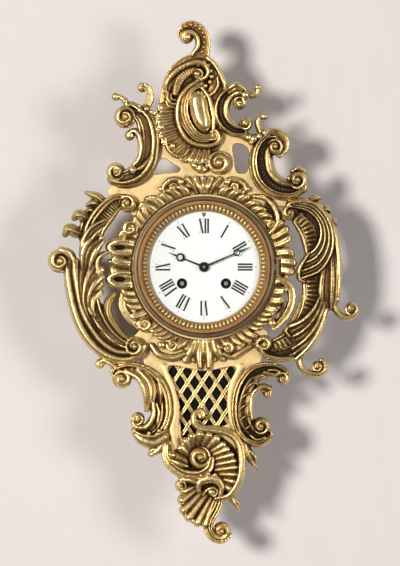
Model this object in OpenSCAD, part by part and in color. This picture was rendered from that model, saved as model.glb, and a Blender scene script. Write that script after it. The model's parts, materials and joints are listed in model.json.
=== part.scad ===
// Wall cartel clock: gilt bronze case, glazed bezel, enamel dial and a spring driven striking movement.
// Drawn as it hangs: x to the right, y up, z out from the wall, the dial centre on x = y = 0.
// in_row() turns this to the shared frame: z up, the front facing -y, the hanger hole at the origin.

/* [Case] */
// Space in the drum behind the movement, for the bell and the pendulum
rear_space = 25; // [24:0.5:40]
// Thickness of the ground plate
ground_t = 5; // [4:0.5:6]
// Sheet thickness of the drum
drum_wall = 1.5; // [1:0.1:2]
// Distance of the hanger hole from the outside of the drum
hanger_out = 8; // [6:0.5:14]
// Radius of the hanger hole
hanger_hole_r = 4.5; // [3:0.25:5.5]
// Thickness of the hanger plate
hanger_t = 3; // [2.5:0.25:4]

/* [Bezel and dial] */
// Inner radius of the beaded sight ring
sight_r = 55.7; // [54:0.1:66]
// Width of the beaded sight ring
sight_w = 8.8; // [7:0.1:12]
// Width of the bezel around the sight ring
bezel_w = 6.5; // [6:0.1:10]
// Height of the bezel above its base
bezel_h = 9.6; // [8.6:0.2:14]
// Thickness of the glass
glass_t = 1.8; // [1.2:0.1:2]
// Thickness of the enamel dial
dial_t = 2; // [1.5:0.1:2.4]
// Radius of the winding holes in the dial
wind_hole_r = 5.25; // [4.5:0.25:6]

/* [Hands] */
// Length of the hour hand
hour_len = 38.3; // [34:0.1:42]
// Length of the minute hand
minute_len = 50.6; // [46:0.1:52]
// Direction of the hour hand, clockwise from twelve
hour_angle = 292.3; // [0:0.1:360]
// Direction of the minute hand, clockwise from twelve
minute_angle = 66.5; // [0:0.1:360]

/* [Movement] */
// Thickness of each plate
plate_t = 2; // [1.5:0.25:2.5]
// Space between the plates
plate_gap = 34; // [34:0.5:35]
// Sideways distance of a winding arbor from the dial centre
wind_x = 22; // [21.75:0.05:22.5]
// Distance of the winding arbors below the dial centre
wind_y = 16.5; // [16:0.1:17]
// Length of the pendulum from its suspension to the bob centre
pendulum_len = 180; // [170:1:200]
// Radius of the pendulum bob
bob_r = 24; // [18:1:28]
// Swing of the pendulum each way, degrees
swing = 4; // [2:0.5:4]

/* [Hidden] */

// colours
GILT = [0.83, 0.66, 0.34];
BRASS = [0.80, 0.68, 0.38];
STEEL = [0.62, 0.63, 0.65];
BLUED = [0.10, 0.11, 0.16];
ENAMEL = [0.95, 0.94, 0.90];
DARK = [0.05, 0.04, 0.04];
CLEAR = [0.85, 0.92, 0.92, 0.35];

// fits
run_gap = 0.05;
free_gap = 0.3;
cut = 1;
$fn = 48;

// stations along z, from the wall outward
flange_t = 2;
flange_front = hanger_t + flange_t;
back_back = flange_front + rear_space;
back_face = back_back + plate_t;
front_back = back_face + plate_gap;
front_face = front_back + plate_t;
motion_gap = 7.5;
dial_plate_t = 1.5;
dial_plate_back = front_face + motion_gap;
dial_back = dial_plate_back + dial_plate_t;
dial_front = dial_back + dial_t;
dial_proud = 1;
case_depth = dial_front - dial_proud;
ground_back = case_depth - ground_t;
base_t = 2;
base_front = case_depth + base_t;
lip_t = 1.5;
lip_back = dial_plate_back - lip_t;
bezel_back = base_front + 0.4;
bezel_front = bezel_back + bezel_h;
glass_seat = bezel_front - 2;
rod_r = 1.5;
swing_z = back_back - 8;
bell_arm_t = 2.4;
bell_crown = flange_front + 2 + bell_arm_t;
bell_h = swing_z - rod_r - 1.1 - bell_crown;

// radii around the dial
dial_r = sight_r + 1.8;
seat_r = dial_r + 2.5;
lip_r = seat_r - 6;
spigot_r = seat_r + 2.5;
throat_r = spigot_r + 0.5;
drum_r = throat_r + 3;
rear_r = drum_r - 12;
hanger_rise = drum_r + hanger_out;
bezel_bore = sight_r + sight_w;
bezel_lip_r = bezel_bore - 2;
bezel_r = bezel_bore + bezel_w;
surround_r = bezel_r + 2;
// the ornament is drawn around a ring of this radius and moves out with it
drawn_ring_r = 73;
grow = surround_r - drawn_ring_r;
UP = [0, grow];
DOWN = [0, -grow];
LEFT = [-grow, 0];
RIGHT = [grow, 0];
function moved(points, by) = [for (p = points) p + by];

// bezel hinge on the right
hinge_x = bezel_r + 2.6;
hinge_z = bezel_back + 2.6;
knuckle_r = 2.2;
bezel_pin_r = 1;
knuckle_half = 3;
lug_end = 8;

// back door hinge on the left, seen from the front
door_r = rear_r - 0.7;
door_axis = [-rear_r - 1.5, hanger_t - 1.4];
door_knuckle_r = 1.35;
door_pin_r = 0.7;

// turns the drawing into the shared frame
module in_row() {
  rotate([90, 0, 0]) translate([0, -hanger_rise, 0]) children();
}

// a round rod or disc from z0 to z1
module rod(r, z0, z1) {
  translate([0, 0, z0]) cylinder(r = r, h = z1 - z0);
}

// a flat drawing raised from z0 to z1
module slab(z0, z1) {
  translate([0, 0, z0]) linear_extrude(z1 - z0) children();
}

module at(p) {
  translate([p[0], p[1], 0]) children();
}

function polar(r, a) = r * [cos(a), sin(a)];
function bearing(p, q) = atan2(q[1] - p[1], q[0] - p[0]);

// Smooth curves through hand chosen points
function spline(a, b, c, d, t) =
  0.5 * (2 * b + (c - a) * t + (2 * a - 5 * b + 4 * c - d) * t * t + (3 * b - a - 3 * c + d) * t * t * t);
function open_at(p, i) =
  i < 0 ? 2 * p[0] - p[1] : i >= len(p) ? 2 * p[len(p) - 1] - p[len(p) - 2] : p[i];
function open_curve(p, n) = concat(
  [for (i = [0:len(p) - 2], k = [0:n - 1])
    spline(open_at(p, i - 1), p[i], p[i + 1], open_at(p, i + 2), k / n)],
  [p[len(p) - 1]]);
function closed_curve(p, n) = let (m = len(p))
  [for (i = [0:m - 1], k = [0:n - 1])
    spline(p[(i + m - 1) % m], p[i], p[(i + 1) % m], p[(i + 2) % m], k / n)];

// Gear teeth: addendum, dedendum, root width and tip width, in modules and in parts of the pitch
WHEEL_TOOTH = [0.80, 1.20, 0.52, 0.14];
LEAF_TOOTH = [0.65, 1.15, 0.30, 0.16];
function teeth(n, m, form) = [for (i = [0:n - 1], k = [0:3])
  let (pitch = 360 / n, tip = k == 1 || k == 2, side = k < 2 ? -1 : 1)
  polar(m * n / 2 + m * (tip ? form[0] : -form[1]), pitch * (i + side / 2 * (tip ? form[3] : form[2])))];
module gear(n, m, form, z0, z1, phase) {
  slab(z0, z1) rotate(phase) polygon(teeth(n, m, form));
}
function centres(na, nb, m) = m * (na + nb) / 2;
// the turn that meshes wheel b with wheel a, for b in direction dir from a
function meshed(dir, turn_a, na, nb) = dir + 180 + (dir - turn_a) * na / nb - 180 / nb;
// a point at distances r from p and s from q, on the left of the way from p to q
function meeting(p, r, q, s) =
  let (d = norm(q - p), u = (q - p) / d, a = (r * r - s * s + d * d) / (2 * d), h = sqrt(r * r - a * a))
  p + a * u + h * [-u[1], u[0]];

// Going train
great_n = 84;
barrel_room = 1;
great_m = 2 * (wind_x - barrel_room) / great_n;
inter_leaf = 12;
inter_n = 66;
inter_m = 0.48;
centre_leaf = 10;
centre_n = 88;
centre_m = 0.36;
third_leaf = 8;
third_n = 96;
third_m = 0.28;
escape_leaf = 8;
escape_n = 32;
escape_r = 10.5;
escape_root = 8.3;
third_dir = 100;
hub = [0, 0];
going_at = [wind_x, -wind_y];
strike_at = [-wind_x, -wind_y];
inter_at = meeting(hub, centres(inter_n, centre_leaf, inter_m), going_at, centres(great_n, inter_leaf,
  great_m));
third_at = polar(centres(centre_n, third_leaf, centre_m), third_dir);
escape_reach = centres(third_n, escape_leaf, third_m);
escape_at = [0, third_at[1] + sqrt(escape_reach * escape_reach - third_at[0] * third_at[0])];
escape_pitch = 360 / escape_n;
pallet_half = 6.5 * escape_pitch / 2;
anchor_at = escape_at + [0, escape_r / cos(pallet_half)];
pallet_r = 0.25;
pallet_reach = escape_r + pallet_r + 0.1;
inter_leaf_turn = meshed(bearing(going_at, inter_at), 0, great_n, inter_leaf);
centre_leaf_turn = meshed(bearing(inter_at, hub), 0, inter_n, centre_leaf);
third_leaf_turn = meshed(bearing(hub, third_at), 0, centre_n, third_leaf);
escape_leaf_turn = meshed(bearing(third_at, escape_at), 0, third_n, escape_leaf);
escape_turn = 90 + pallet_half - escape_pitch / 4;

// Strike train
second_dir = 80;
second_n = 72;
second_m = 0.4;
pin_leaf = 8;
pin_dir = 110;
pin_n = 60;
pin_m = 0.32;
fly_leaf = 8;
fly_dir = 60;
fly_r = 5.8;
second_at = strike_at + polar(centres(great_n, inter_leaf, great_m), second_dir);
pin_at = second_at + polar(centres(second_n, pin_leaf, second_m), pin_dir);
fly_at = pin_at + polar(centres(pin_n, fly_leaf, pin_m), fly_dir);
second_leaf_turn = meshed(second_dir, 0, great_n, inter_leaf);
pin_leaf_turn = meshed(pin_dir, 0, second_n, pin_leaf);
fly_leaf_turn = meshed(fly_dir, 0, pin_n, fly_leaf);
lift_pins = 8;
lift_pin_at = 7.8;
lift_pin_r = 0.5;
hammer_at = [-37, 18];
bell_at = [4, -2];
bell_r = 28;
bell_stand_at = [36, -8];
count_r = 12;

// Motion work
cannon_n = 14;
minute_n = 42;
cannon_m = 0.5;
minute_leaf = 10;
hour_n = 40;
hour_m = 0.56;
motion_dir = 125;
minute_at = polar(centres(cannon_n, minute_n, cannon_m), motion_dir);
minute_turn = meshed(motion_dir, 0, cannon_n, minute_n);
hour_turn = meshed(motion_dir + 180, 0, minute_leaf, hour_n);
centre_arbor_r = 1.2;
cannon_r = 2.2;
hour_pipe_r = 3.2;
regulator_y = 52.5;
regulator_r = 1.1;

// arbors and pivots
arbor_r = 0.8;
pivot_r = 0.6;
plate_r = anchor_at[1] + 5.66;
shoulder = 0.3;
wind_r = 2.5;
wind_square = 3.4;
barrel_back = back_face + 6;
barrel_flange = 2.5;
barrel_wall = 1;
barrel_r = wind_x - barrel_room - 1.5;
barrel_front = barrel_back + 19.5;
core_r = 5;
ratchet_n = 20;
ratchet_r = 7.5;
pillar_r = 2.5;
pillar_at = [for (a = [5, 175, 60, 108.4, -90]) polar(plate_r - 6, a)];
post_at = [for (a = [30, 150, -75, -105]) polar(plate_r - 6, a)];
post_r = 3;
screw_r = 1.2;
strap_turn = [20, 160];
strap_screw_at = seat_r - 0.6;
strap_foot_at = seat_r - 2.6;

module pivoted(p) {
  at(p) {
    rod(arbor_r, back_face + shoulder, front_back - shoulder);
    rod(pivot_r, back_back, front_face);
  }
}

// Castings: every ridge is a domed ribbon along points [x, y, half width, height] with a flat back
RIBBON = [[-1, 0], [-0.8, 0.7], [0, 1], [0.8, 0.7], [1, 0]];
function heading(c, i) = let (a = c[max(i - 1, 0)], b = c[min(i + 1, len(c) - 1)], d = [b[0] - a[0],
  b[1] - a[1]]) d / norm(d);
module ribbon(points, base = case_depth, steps = 3) {
  c = open_curve(points, steps);
  k = len(RIBBON);
  last = len(c) - 1;
  ring = [for (i = [0:last], q = RIBBON)
    let (t = heading(c, i))
    [c[i][0] + t[1] * c[i][2] * q[0], c[i][1] - t[0] * c[i][2] * q[0], base + c[i][3] * q[1]]];
  sides = [for (i = [0:last - 1], j = [0:k - 1])
    [i * k + j, (i + 1) * k + j, (i + 1) * k + (j + 1) % k, i * k + (j + 1) % k]];
  start = [[for (j = [0:k - 1]) j]];
  end = [[for (j = [k - 1:-1:0]) last * k + j]];
  polyhedron(points = ring, faces = concat(sides, start, end), convexity = 6);
}
// a scroll eye: a domed disc with a groove and a button
EYE = [[0, 0], [1, 0], [0.94, 0.6], [0.7, 0.85], [0.5, 0.62], [0.3, 0.95], [0, 1.05]];
module eye(x, y, r, h, base = case_depth) {
  translate([x, y, base]) rotate_extrude($fn = 16) polygon([for (q = EYE) [q[0] * r, q[1] * h]]);
}
// a rounded boss
BOSS = [[0, 0], [1, 0], [0.9, 0.55], [0.55, 0.9], [0, 1]];
module boss(x, y, r, h, base = case_depth) {
  translate([x, y, base]) rotate_extrude($fn = 12) polygon([for (q = BOSS) [q[0] * r, q[1] * h]]);
}
// a flat pad under a cluster of ridges
module pad(points, h) {
  slab(case_depth, case_depth + h) polygon(closed_curve(points, 2));
}
// welds all ridges of one casting to one skin and drills its screw holes
case_screw_r = 1.5;
case_screw_in = 4;
module casting(holes, by = [0, 0]) {
  in_row() color(GILT) resize([0, 0, 0]) difference() {
    at(by) union() children();
    for (p = holes) at(p) translate([0, 0, case_depth - cut])
      cylinder(r = case_screw_r + 0.1, h = case_screw_in + cut + 0.2, $fn = 12);
  }
}

shell_holes = moved([[-10, 186], [-16, 114]], UP);
scroll_left_holes = moved([[-54, 121], [-72, 91]], UP);
scroll_right_holes = moved([[17, 152], [60, 106], [79, 80]], UP);
branch_left_holes = moved([[-76, 65], [-70, -80]], LEFT);
branch_right_holes = moved([[84, 54], [61, -78]], RIGHT);
surround_holes = [for (a = [45:90:315]) polar(surround_r + 6, a)];
apron_left_holes = moved([[-51, -109], [-40, -136]], DOWN);
apron_right_holes = moved([[41, -116], [38, -140]], DOWN);
base_holes = moved([[-4, -190], [6, -207]], DOWN);
casting_holes = concat(shell_holes, scroll_left_holes, scroll_right_holes, branch_left_holes,
  branch_right_holes,
  surround_holes, apron_left_holes, apron_right_holes, base_holes);
drum_flange_r = drum_r + 8;
drum_hole_r = drum_r + 4.5;
drum_holes = [for (a = [0:60:300]) polar(drum_hole_r, a + 15)];
hanger_holes = [[-9, rear_r + 7], [9, rear_r + 7]];
grille_holes = moved([[-27.3, -138], [25.7, -140], [0, -101.4], [2, -168.4]], DOWN);

// Case
crest_ground = moved([[-93, 70], [-95, 79], [-82, 85], [-68, 97], [-58, 108], [-55, 122], [-56, 136],
  [-47, 146], [-39, 162],
  [-30, 194], [-10, 206], [8, 200], [18, 185], [23, 168], [25, 140], [42, 134], [60, 122], [64, 102],
    [74, 88],
  [92, 77], [88, 62], [0, 60], [-70, 60]], UP);
gap_left = moved([[-41, 109], [-30, 103], [-24, 99], [-26, 95], [-40, 94], [-49, 93], [-47, 101]], UP);
gap_right = moved([[29, 122], [38, 123], [45, 117], [45, 105], [43, 95], [33, 95], [30, 108]], UP);
apron_ground = moved([[-62, -62], [-62, -90], [-55, -107], [-47, -125], [-45, -141], [-46, -160],
  [-40, -176], [-30, -190],
  [-22, -207], [0, -214], [20, -210], [31, -192], [38, -178], [44, -162], [40, -143], [41, -125],
    [47, -108],
  [58, -92], [60, -62], [0, -66]], DOWN);
grille_gap = moved([[-35, -99], [0, -104], [31, -100], [25, -118], [23, -138], [24, -157], [11, -161],
  [-4, -166], [-20, -174],
  [-24, -158], [-25, -138], [-30, -118]], DOWN);
lug_r = 7;
module lug(p) {
  hull() {
    at(p) circle(lug_r);
    at(p * 0.8) circle(lug_r);
  }
}
module case_ground() {
  in_row() color(GILT) difference() {
    union() {
      rod(surround_r + 12, ground_back, case_depth);
      slab(ground_back, case_depth) polygon(closed_curve(crest_ground, 4));
      slab(ground_back, case_depth) polygon(closed_curve(apron_ground, 4));
      for (p = concat(branch_left_holes, branch_right_holes)) slab(ground_back, case_depth) lug(p);
    }
    rod(throat_r, ground_back - cut, case_depth + cut);
    for (g = [gap_left, gap_right, grille_gap]) slab(ground_back - cut, case_depth + cut)
      polygon(closed_curve(g, 4));
    for (p = casting_holes) at(p) rod(case_screw_r + 0.1, ground_back - cut, case_depth + cut);
    for (p = drum_holes) at(p) rod(case_screw_r, ground_back - cut, ground_back + 3);
    for (p = grille_holes) at(p) rod(screw_r, ground_back - cut, ground_back + 2.5);
  }
}

module crest_shell() {
  casting(shell_holes, UP) {
    pad([[-34, 197], [-41, 167], [-45, 149], [-41, 131], [-32, 117], [-18, 108], [-4, 107], [8, 113],
      [16, 121],
      [10, 135], [6, 152], [6, 167], [12, 177], [10, 197], [0, 207], [-16, 207]], 5);
    ribbon([[-2, 207, 6.5, 11], [0.5, 219, 6.3, 10], [0, 229, 6, 10], [-5, 238, 5.5, 10],
      [-13, 241.4, 5, 10], [-20, 237, 4.4, 9]]);
    eye(-17, 231, 6.5, 10);
    ribbon([[-4, 209, 5, 11], [-16, 207, 5, 11], [-28, 199, 6, 12], [-36, 187, 6.5, 12],
      [-38, 175, 6, 11], [-35, 166, 5, 10]]);
    ribbon([[-41, 172, 3, 8], [-43, 159, 2.6, 7], [-50, 154, 1.6, 5]], steps = 2);
    ribbon([[3, 209, 4, 10], [12, 199, 4, 10], [16, 187, 4, 10], [13, 176, 3.5, 9], [8, 171, 2.5, 9]]);
    ribbon([[-14, 179, 3.5, 12], [-20.5, 164, 3.5, 12], [-20, 149, 3.5, 12], [-13, 135, 3.5, 12],
      [-1, 127, 3.5, 12], [10, 127, 3, 11]]);
    ribbon([[-22, 152, 3, 9], [-41, 150, 5.5, 7]], steps = 1);
    ribbon([[-20, 144, 3, 9], [-40, 135, 6, 7]], steps = 1);
    ribbon([[-14, 135, 3, 9], [-32, 120, 6, 7]], steps = 1);
    ribbon([[-6, 128, 3, 9], [-18, 111, 6, 7]], steps = 1);
    ribbon([[3, 124, 3, 9], [0, 109, 5.5, 7]], steps = 1);
    eye(-4, 192, 8, 13);
    eye(14, 106, 9.5, 11);
    boss(-3, 102.3, 6, 9);
  }
}

module crest_cabochon() {
  in_row() color(GILT) at(UP) ribbon([[-9.5, 178, 1.5, 4], [-9, 172, 5.5, 8], [-8, 162, 7.5, 10],
    [-5, 151, 7.5, 10], [-0.5, 142, 6, 9],
    [1.5, 137.5, 2, 4]], base = case_depth + 5, steps = 2);
}

module crest_scroll_left() {
  casting(scroll_left_holes, UP) {
    ribbon([[-66, 155, 6.5, 11], [-57, 140, 8, 12], [-54, 125, 9, 12], [-56, 110, 9, 12],
      [-63, 99, 9, 12], [-74, 91, 8, 12], [-85, 89, 6, 11]]);
    eye(-79, 151, 11, 13);
    eye(-87, 97, 9.5, 13);
    eye(-74, 133, 5.5, 9);
    ribbon([[-74, 134, 3, 8], [-66, 136, 3, 9], [-59, 130, 3, 9]], steps = 2);
    ribbon([[-78, 162, 3, 8], [-83, 168, 2.5, 7], [-87, 170, 2.5, 6]], steps = 2);
    boss(-86.5, 170.5, 4, 7);
    ribbon([[-68, 160, 3, 9], [-58, 162, 2.8, 8], [-54, 170, 2.6, 8], [-56, 179, 2.4, 7],
      [-61, 182, 2.4, 6]], steps = 2);
    boss(-61, 181, 3.6, 7);
  }
}

module crest_scroll_right() {
  casting(scroll_right_holes, UP) {
    ribbon([[39, 170, 4, 9], [30, 174, 5, 10], [22, 170, 6, 11], [17.5, 160, 6.3, 11],
      [17.5, 149, 6.3, 11], [22, 139, 6, 11],
      [31, 134, 5, 10], [40, 137, 4.5, 9]]);
    eye(37, 164, 6.5, 10);
    eye(42, 144, 6.5, 10);
    ribbon([[39, 175, 2.6, 7], [46, 171, 2.4, 7], [51, 173, 2.4, 6], [53, 180, 2.6, 6]], steps = 2);
    boss(53, 180, 3.2, 6);
    ribbon([[68, 126, 8, 12], [61, 115, 9, 12], [61, 101, 9.5, 12], [68, 88, 9.5, 12],
      [80, 80, 9, 12], [93, 79, 7, 11]]);
    eye(71, 121, 12, 13);
    eye(96, 89, 10, 13);
    ribbon([[40, 133, 3.5, 8], [51, 129, 4.5, 9], [62, 131, 4, 9]], steps = 2);
    ribbon([[60, 134, 3, 8], [55, 143, 2.6, 7], [54, 150, 2.4, 7], [59, 152, 2.4, 6]], steps = 2);
  }
}

module side_branch_left() {
  casting(branch_left_holes, LEFT) {
    ribbon([[-80, 70, 6, 12], [-92, 63, 9, 12], [-103, 51, 10, 13], [-110, 35, 10.5, 13],
      [-113, 19, 10, 13], [-114, 5, 9, 13], [-113, -6, 7, 11]]);
    eye(-76, 65, 9.5, 14.6);
    ribbon([[-101, 62, 4, 9], [-110, 68, 5, 9], [-119, 73, 2, 5]], steps = 2);
    ribbon([[-110, 45, 4, 9], [-119, 48, 5, 9], [-128, 50, 3, 6]], steps = 2);
    ribbon([[-120, 27, 4, 9], [-129, 31, 5.5, 9], [-137, 37, 3.5, 6]], steps = 2);
    ribbon([[-136, 5, 7, 11], [-126, -5, 10, 12], [-120, -20, 12, 13], [-115, -36, 13, 14],
      [-107, -53, 13, 14], [-95, -68, 12, 13],
      [-81, -79, 10, 12], [-68, -83, 8, 12]]);
    eye(-144, 7, 12, 13);
    eye(-70, -80, 10.5, 15);
    ribbon([[-97, 13, 1.6, 7], [-102, 4, 4, 11], [-107, -8, 5, 12]], steps = 2);
    ribbon([[-95, -28, 1.6, 7], [-100, -34, 4, 11], [-102, -46, 5, 12]], steps = 2);
  }
}

module side_branch_right() {
  casting(branch_right_holes, RIGHT) {
    ribbon([[87, 59, 6, 12], [100, 57, 9, 12], [111, 46, 11, 13], [117, 30, 12, 13],
      [119, 12, 12, 13], [119, -6, 11, 13], [121, -23, 9, 12],
      [126, -37, 6, 11]]);
    eye(84, 54, 8, 14.6);
    ribbon([[112, 59, 4, 9], [115, 68, 3, 7]], steps = 1);
    ribbon([[120, 51, 4, 8], [126, 56, 2.5, 6]], steps = 1);
    ribbon([[127, 38, 4, 8], [132, 44, 2.5, 6]], steps = 1);
    ribbon([[112, -1, 6, 13], [104, -5, 5, 12], [99, -13, 1.6, 7]], steps = 2);
    ribbon([[108, -14, 9, 12], [106, -35, 10.5, 13], [99, -52, 10.5, 13], [88, -67, 10, 13],
      [75, -78, 9, 12], [63, -83, 7.5, 12]]);
    ribbon([[118, -30, 6, 11], [114, -58, 7, 11], [103, -78, 6, 11], [93, -89, 3, 9]], steps = 2);
    eye(61, -78, 9.5, 15);
    ribbon([[127, -36, 3, 8], [137, -47, 2.6, 7], [146, -48, 2.6, 7], [152, -42, 2.4, 6]], steps = 2);
    boss(150, -40, 4.4, 7);
    ribbon([[97, -81, 3, 8], [96, -95, 2.8, 8], [102, -104, 2.6, 7], [111, -106, 2.6, 7],
      [117, -99, 2.4, 6]], steps = 2);
    boss(114, -97, 4.4, 7);
  }
}

// the dial surround: a ring of lobes, a palmette above and a leaf below
lobes = 24;
ring_steps = 96;
function surround_out(a) = surround_r + 14.5 + 1.5 * cos(lobes * a) + 3.5 * cos(2 * a);
module lobed_ring() {
  form = [[0, 0], [0.04, 0.7], [0.35, 1], [0.75, 0.95], [1, 0.45], [1, 0]];
  k = len(form);
  ring = [for (i = [0:ring_steps - 1], q = form)
    let (a = 360 / ring_steps * i, r = surround_r + (surround_out(a) - surround_r) * q[0])
    [r * cos(a), r * sin(a), case_depth + 6 * q[1]]];
  sides = [for (i = [0:ring_steps - 1], j = [0:k - 1])
    let (n = (i + 1) % ring_steps)
    [i * k + j, n * k + j, n * k + (j + 1) % k, i * k + (j + 1) % k]];
  polyhedron(points = ring, faces = sides, convexity = 6);
}
// one leaf of the palmette, from x0 on the ring to x1 above it
module palmette(x0, x1, h, rise) {
  ribbon([[x0, surround_r + 3, 4, h], [x1, surround_r + rise, 4, h - 1]], steps = 1);
}
// a scroll eye on the ring
module ring_eye(out, a, r, h) {
  p = polar(surround_r + out, a);
  eye(p[0], p[1], r, h);
}
notch_half = lug_end + 1.5;
module dial_surround() {
  casting(surround_holes) {
    difference() {
      union() {
        lobed_ring();
        palmette(-1, -1, 8, 16.5);
        palmette(-11, -16, 7, 14);
        palmette(9, 14, 7, 14);
        ribbon([[1, -surround_r - 4, 7, 8], [1, -surround_r - 17, 6, 8],
          [1, -surround_r - 26, 2, 5]], steps = 1);
        ring_eye(9.8, 151.9, 8, 8);
        ring_eye(9.8, 223.5, 7, 8);
        ring_eye(8, 27.2, 7, 7);
        ring_eye(9, -45, 6, 7);
      }
      translate([0, -notch_half, case_depth - cut]) cube([hinge_x + knuckle_r + 1.2, 2 * notch_half, 20]);
    }
  }
}

module apron_scroll_left() {
  casting(apron_left_holes, DOWN) {
    ribbon([[-80, -103, 5, 10], [-67, -101, 7, 11], [-54, -107, 8, 12], [-44, -119, 8, 12],
      [-39, -134, 8, 12], [-39, -149, 8, 12],
      [-45, -162, 7.5, 12], [-56, -168, 6.5, 11], [-66, -163, 5, 10]]);
    eye(-82, -111, 9, 11);
    eye(-65, -154, 7, 12);
    ribbon([[-86, -106, 3, 7], [-97, -98, 2.6, 6], [-105, -97, 2.4, 5]], steps = 2);
    boss(-104, -96.5, 4, 6);
    ribbon([[-71, -109, 3, 9], [-60, -121, 4, 10], [-54, -137, 2, 7]], steps = 2);
    ribbon([[-66, -169, 3, 8], [-55, -177, 4, 9], [-43, -173, 4, 9]], steps = 2);
    ribbon([[-47, -179, 3, 7], [-54, -189, 1.5, 5]], steps = 1);
  }
}

module apron_scroll_right() {
  casting(apron_right_holes, DOWN) {
    ribbon([[38, -131, 6, 11], [42, -117, 7, 12], [53, -107, 7, 12], [67, -104, 6.5, 11],
      [78, -108, 5, 10]]);
    eye(80, -112, 6.5, 11);
    ribbon([[39, -128, 7, 12], [38, -143, 7, 12], [42, -157, 7.5, 12], [52, -166, 7.5, 12],
      [62, -164, 6, 11]]);
    eye(57, -158, 8.5, 12);
    ribbon([[46, -133, 3, 9], [56, -124, 3.5, 9], [64, -121, 3.5, 9], [68, -127, 3, 8]], steps = 2);
    boss(64, -126, 5, 9);
    ribbon([[49, -172, 4, 9], [49, -188, 3.5, 8], [53, -199, 1.8, 5]], steps = 2);
  }
}

// the lattice is let into the back of its opening, so its rim laps the ground
grille_t = 2;
grille_back = ground_back - grille_t;
grille_pitch = 14.5;
grille_rise = 22;
grille_bar = 4;
grille_rim = 4;
grille_mid = -138 - grow;
module lattice_grille() {
  lean = atan2(grille_rise, grille_pitch);
  in_row() color(GILT) difference() {
    slab(grille_back, ground_back) {
      intersection() {
        offset(r = grille_rim) polygon(closed_curve(grille_gap, 3));
        for (a = [lean, -lean], i = [-8:8]) translate([i * grille_pitch - 2, grille_mid])
          rotate(a) square([200, grille_bar], center = true);
      }
      difference() {
        offset(r = grille_rim) polygon(closed_curve(grille_gap, 3));
        offset(r = -0.5) polygon(closed_curve(grille_gap, 3));
      }
    }
    for (p = grille_holes) at(p) rod(screw_r + 0.1, grille_back - cut, ground_back + cut);
  }
}

// a dark cloth behind the lattice keeps dust out and lets the bell be heard
cloth_t = 0.5;
grille_head_r = 2.2;
module grille_cloth() {
  in_row() color(DARK) slab(grille_back - cloth_t, grille_back) difference() {
    offset(r = 0.6) polygon(closed_curve(grille_gap, 3));
    for (p = grille_holes) at(p) circle(grille_head_r + free_gap);
  }
}

module base_shell() {
  casting(base_holes, DOWN) {
    pad([[-20, -180], [-8, -170], [10, -169], [24, -179], [31, -195], [30, -213], [22, -227],
      [8, -229], [-8, -225], [-20, -213], [-26, -195]], 6);
    eye(-3, -146, 6, 9);
    ribbon([[-8, -151, 3, 9], [-4, -160, 4, 10], [8, -164, 5, 11], [22, -167, 5, 12],
      [32, -177, 5, 12], [36, -190, 5, 12], [35, -205, 5, 12],
      [30, -219, 5, 12], [21, -230, 4.5, 11]]);
    eye(-4, -190, 11, 17);
    ribbon([[2, -179, 3, 11], [8, -170, 4.5, 9]], steps = 1);
    ribbon([[8, -184, 3, 11], [21, -179, 5, 9]], steps = 1);
    ribbon([[10, -192, 3, 11], [27, -195, 5, 9]], steps = 1);
    ribbon([[8, -200, 3, 11], [25, -211, 5, 9]], steps = 1);
    ribbon([[-34, -182, 4, 9], [-31, -194, 5, 11], [-20, -203, 5, 12], [-7, -207, 5, 12],
      [3, -203, 4, 11]], steps = 2);
    eye(-23, -218, 6.5, 11);
    ribbon([[-14, -214, 5, 12], [-18, -238, 5, 11], [-14, -252, 4, 9]], steps = 2);
    ribbon([[-4, -214, 5.5, 12], [-7, -239, 5.5, 11], [-6, -255, 4.5, 9]], steps = 2);
    ribbon([[7, -216, 5.5, 12], [5, -238, 5.5, 11], [2, -251, 4, 9]], steps = 2);
    ribbon([[15, -229, 6, 11], [7, -247, 5.5, 10], [4, -260, 5, 10], [10, -270, 4.5, 9],
      [20, -272, 4.5, 9]]);
    eye(18, -264, 9, 10);
    ribbon([[24, -227, 3, 8], [32, -238, 3, 7], [34, -243, 1.5, 5]], steps = 2);
  }
}

// Screws of the case: castings, drum and hanger, lattice
module case_screws() {
  in_row() color(STEEL) {
    for (p = casting_holes) at(p) {
      rod(3, ground_back - 2, ground_back);
      rod(case_screw_r, ground_back - 1, case_depth + case_screw_in);
    }
    for (p = drum_holes) at(p) {
      rod(3, ground_back - flange_t - 2, ground_back - flange_t);
      rod(case_screw_r, ground_back - flange_t - 1, ground_back + 3);
    }
    for (p = hanger_holes) at(p) {
      rod(2.8, flange_front, flange_front + 1.8);
      rod(case_screw_r, hanger_t / 4, flange_front + 1);
    }
    for (p = grille_holes) at(p) {
      rod(grille_head_r, grille_back - 1.5, grille_back);
      rod(screw_r, grille_back - 1, ground_back + 2.5);
    }
  }
}

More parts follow.
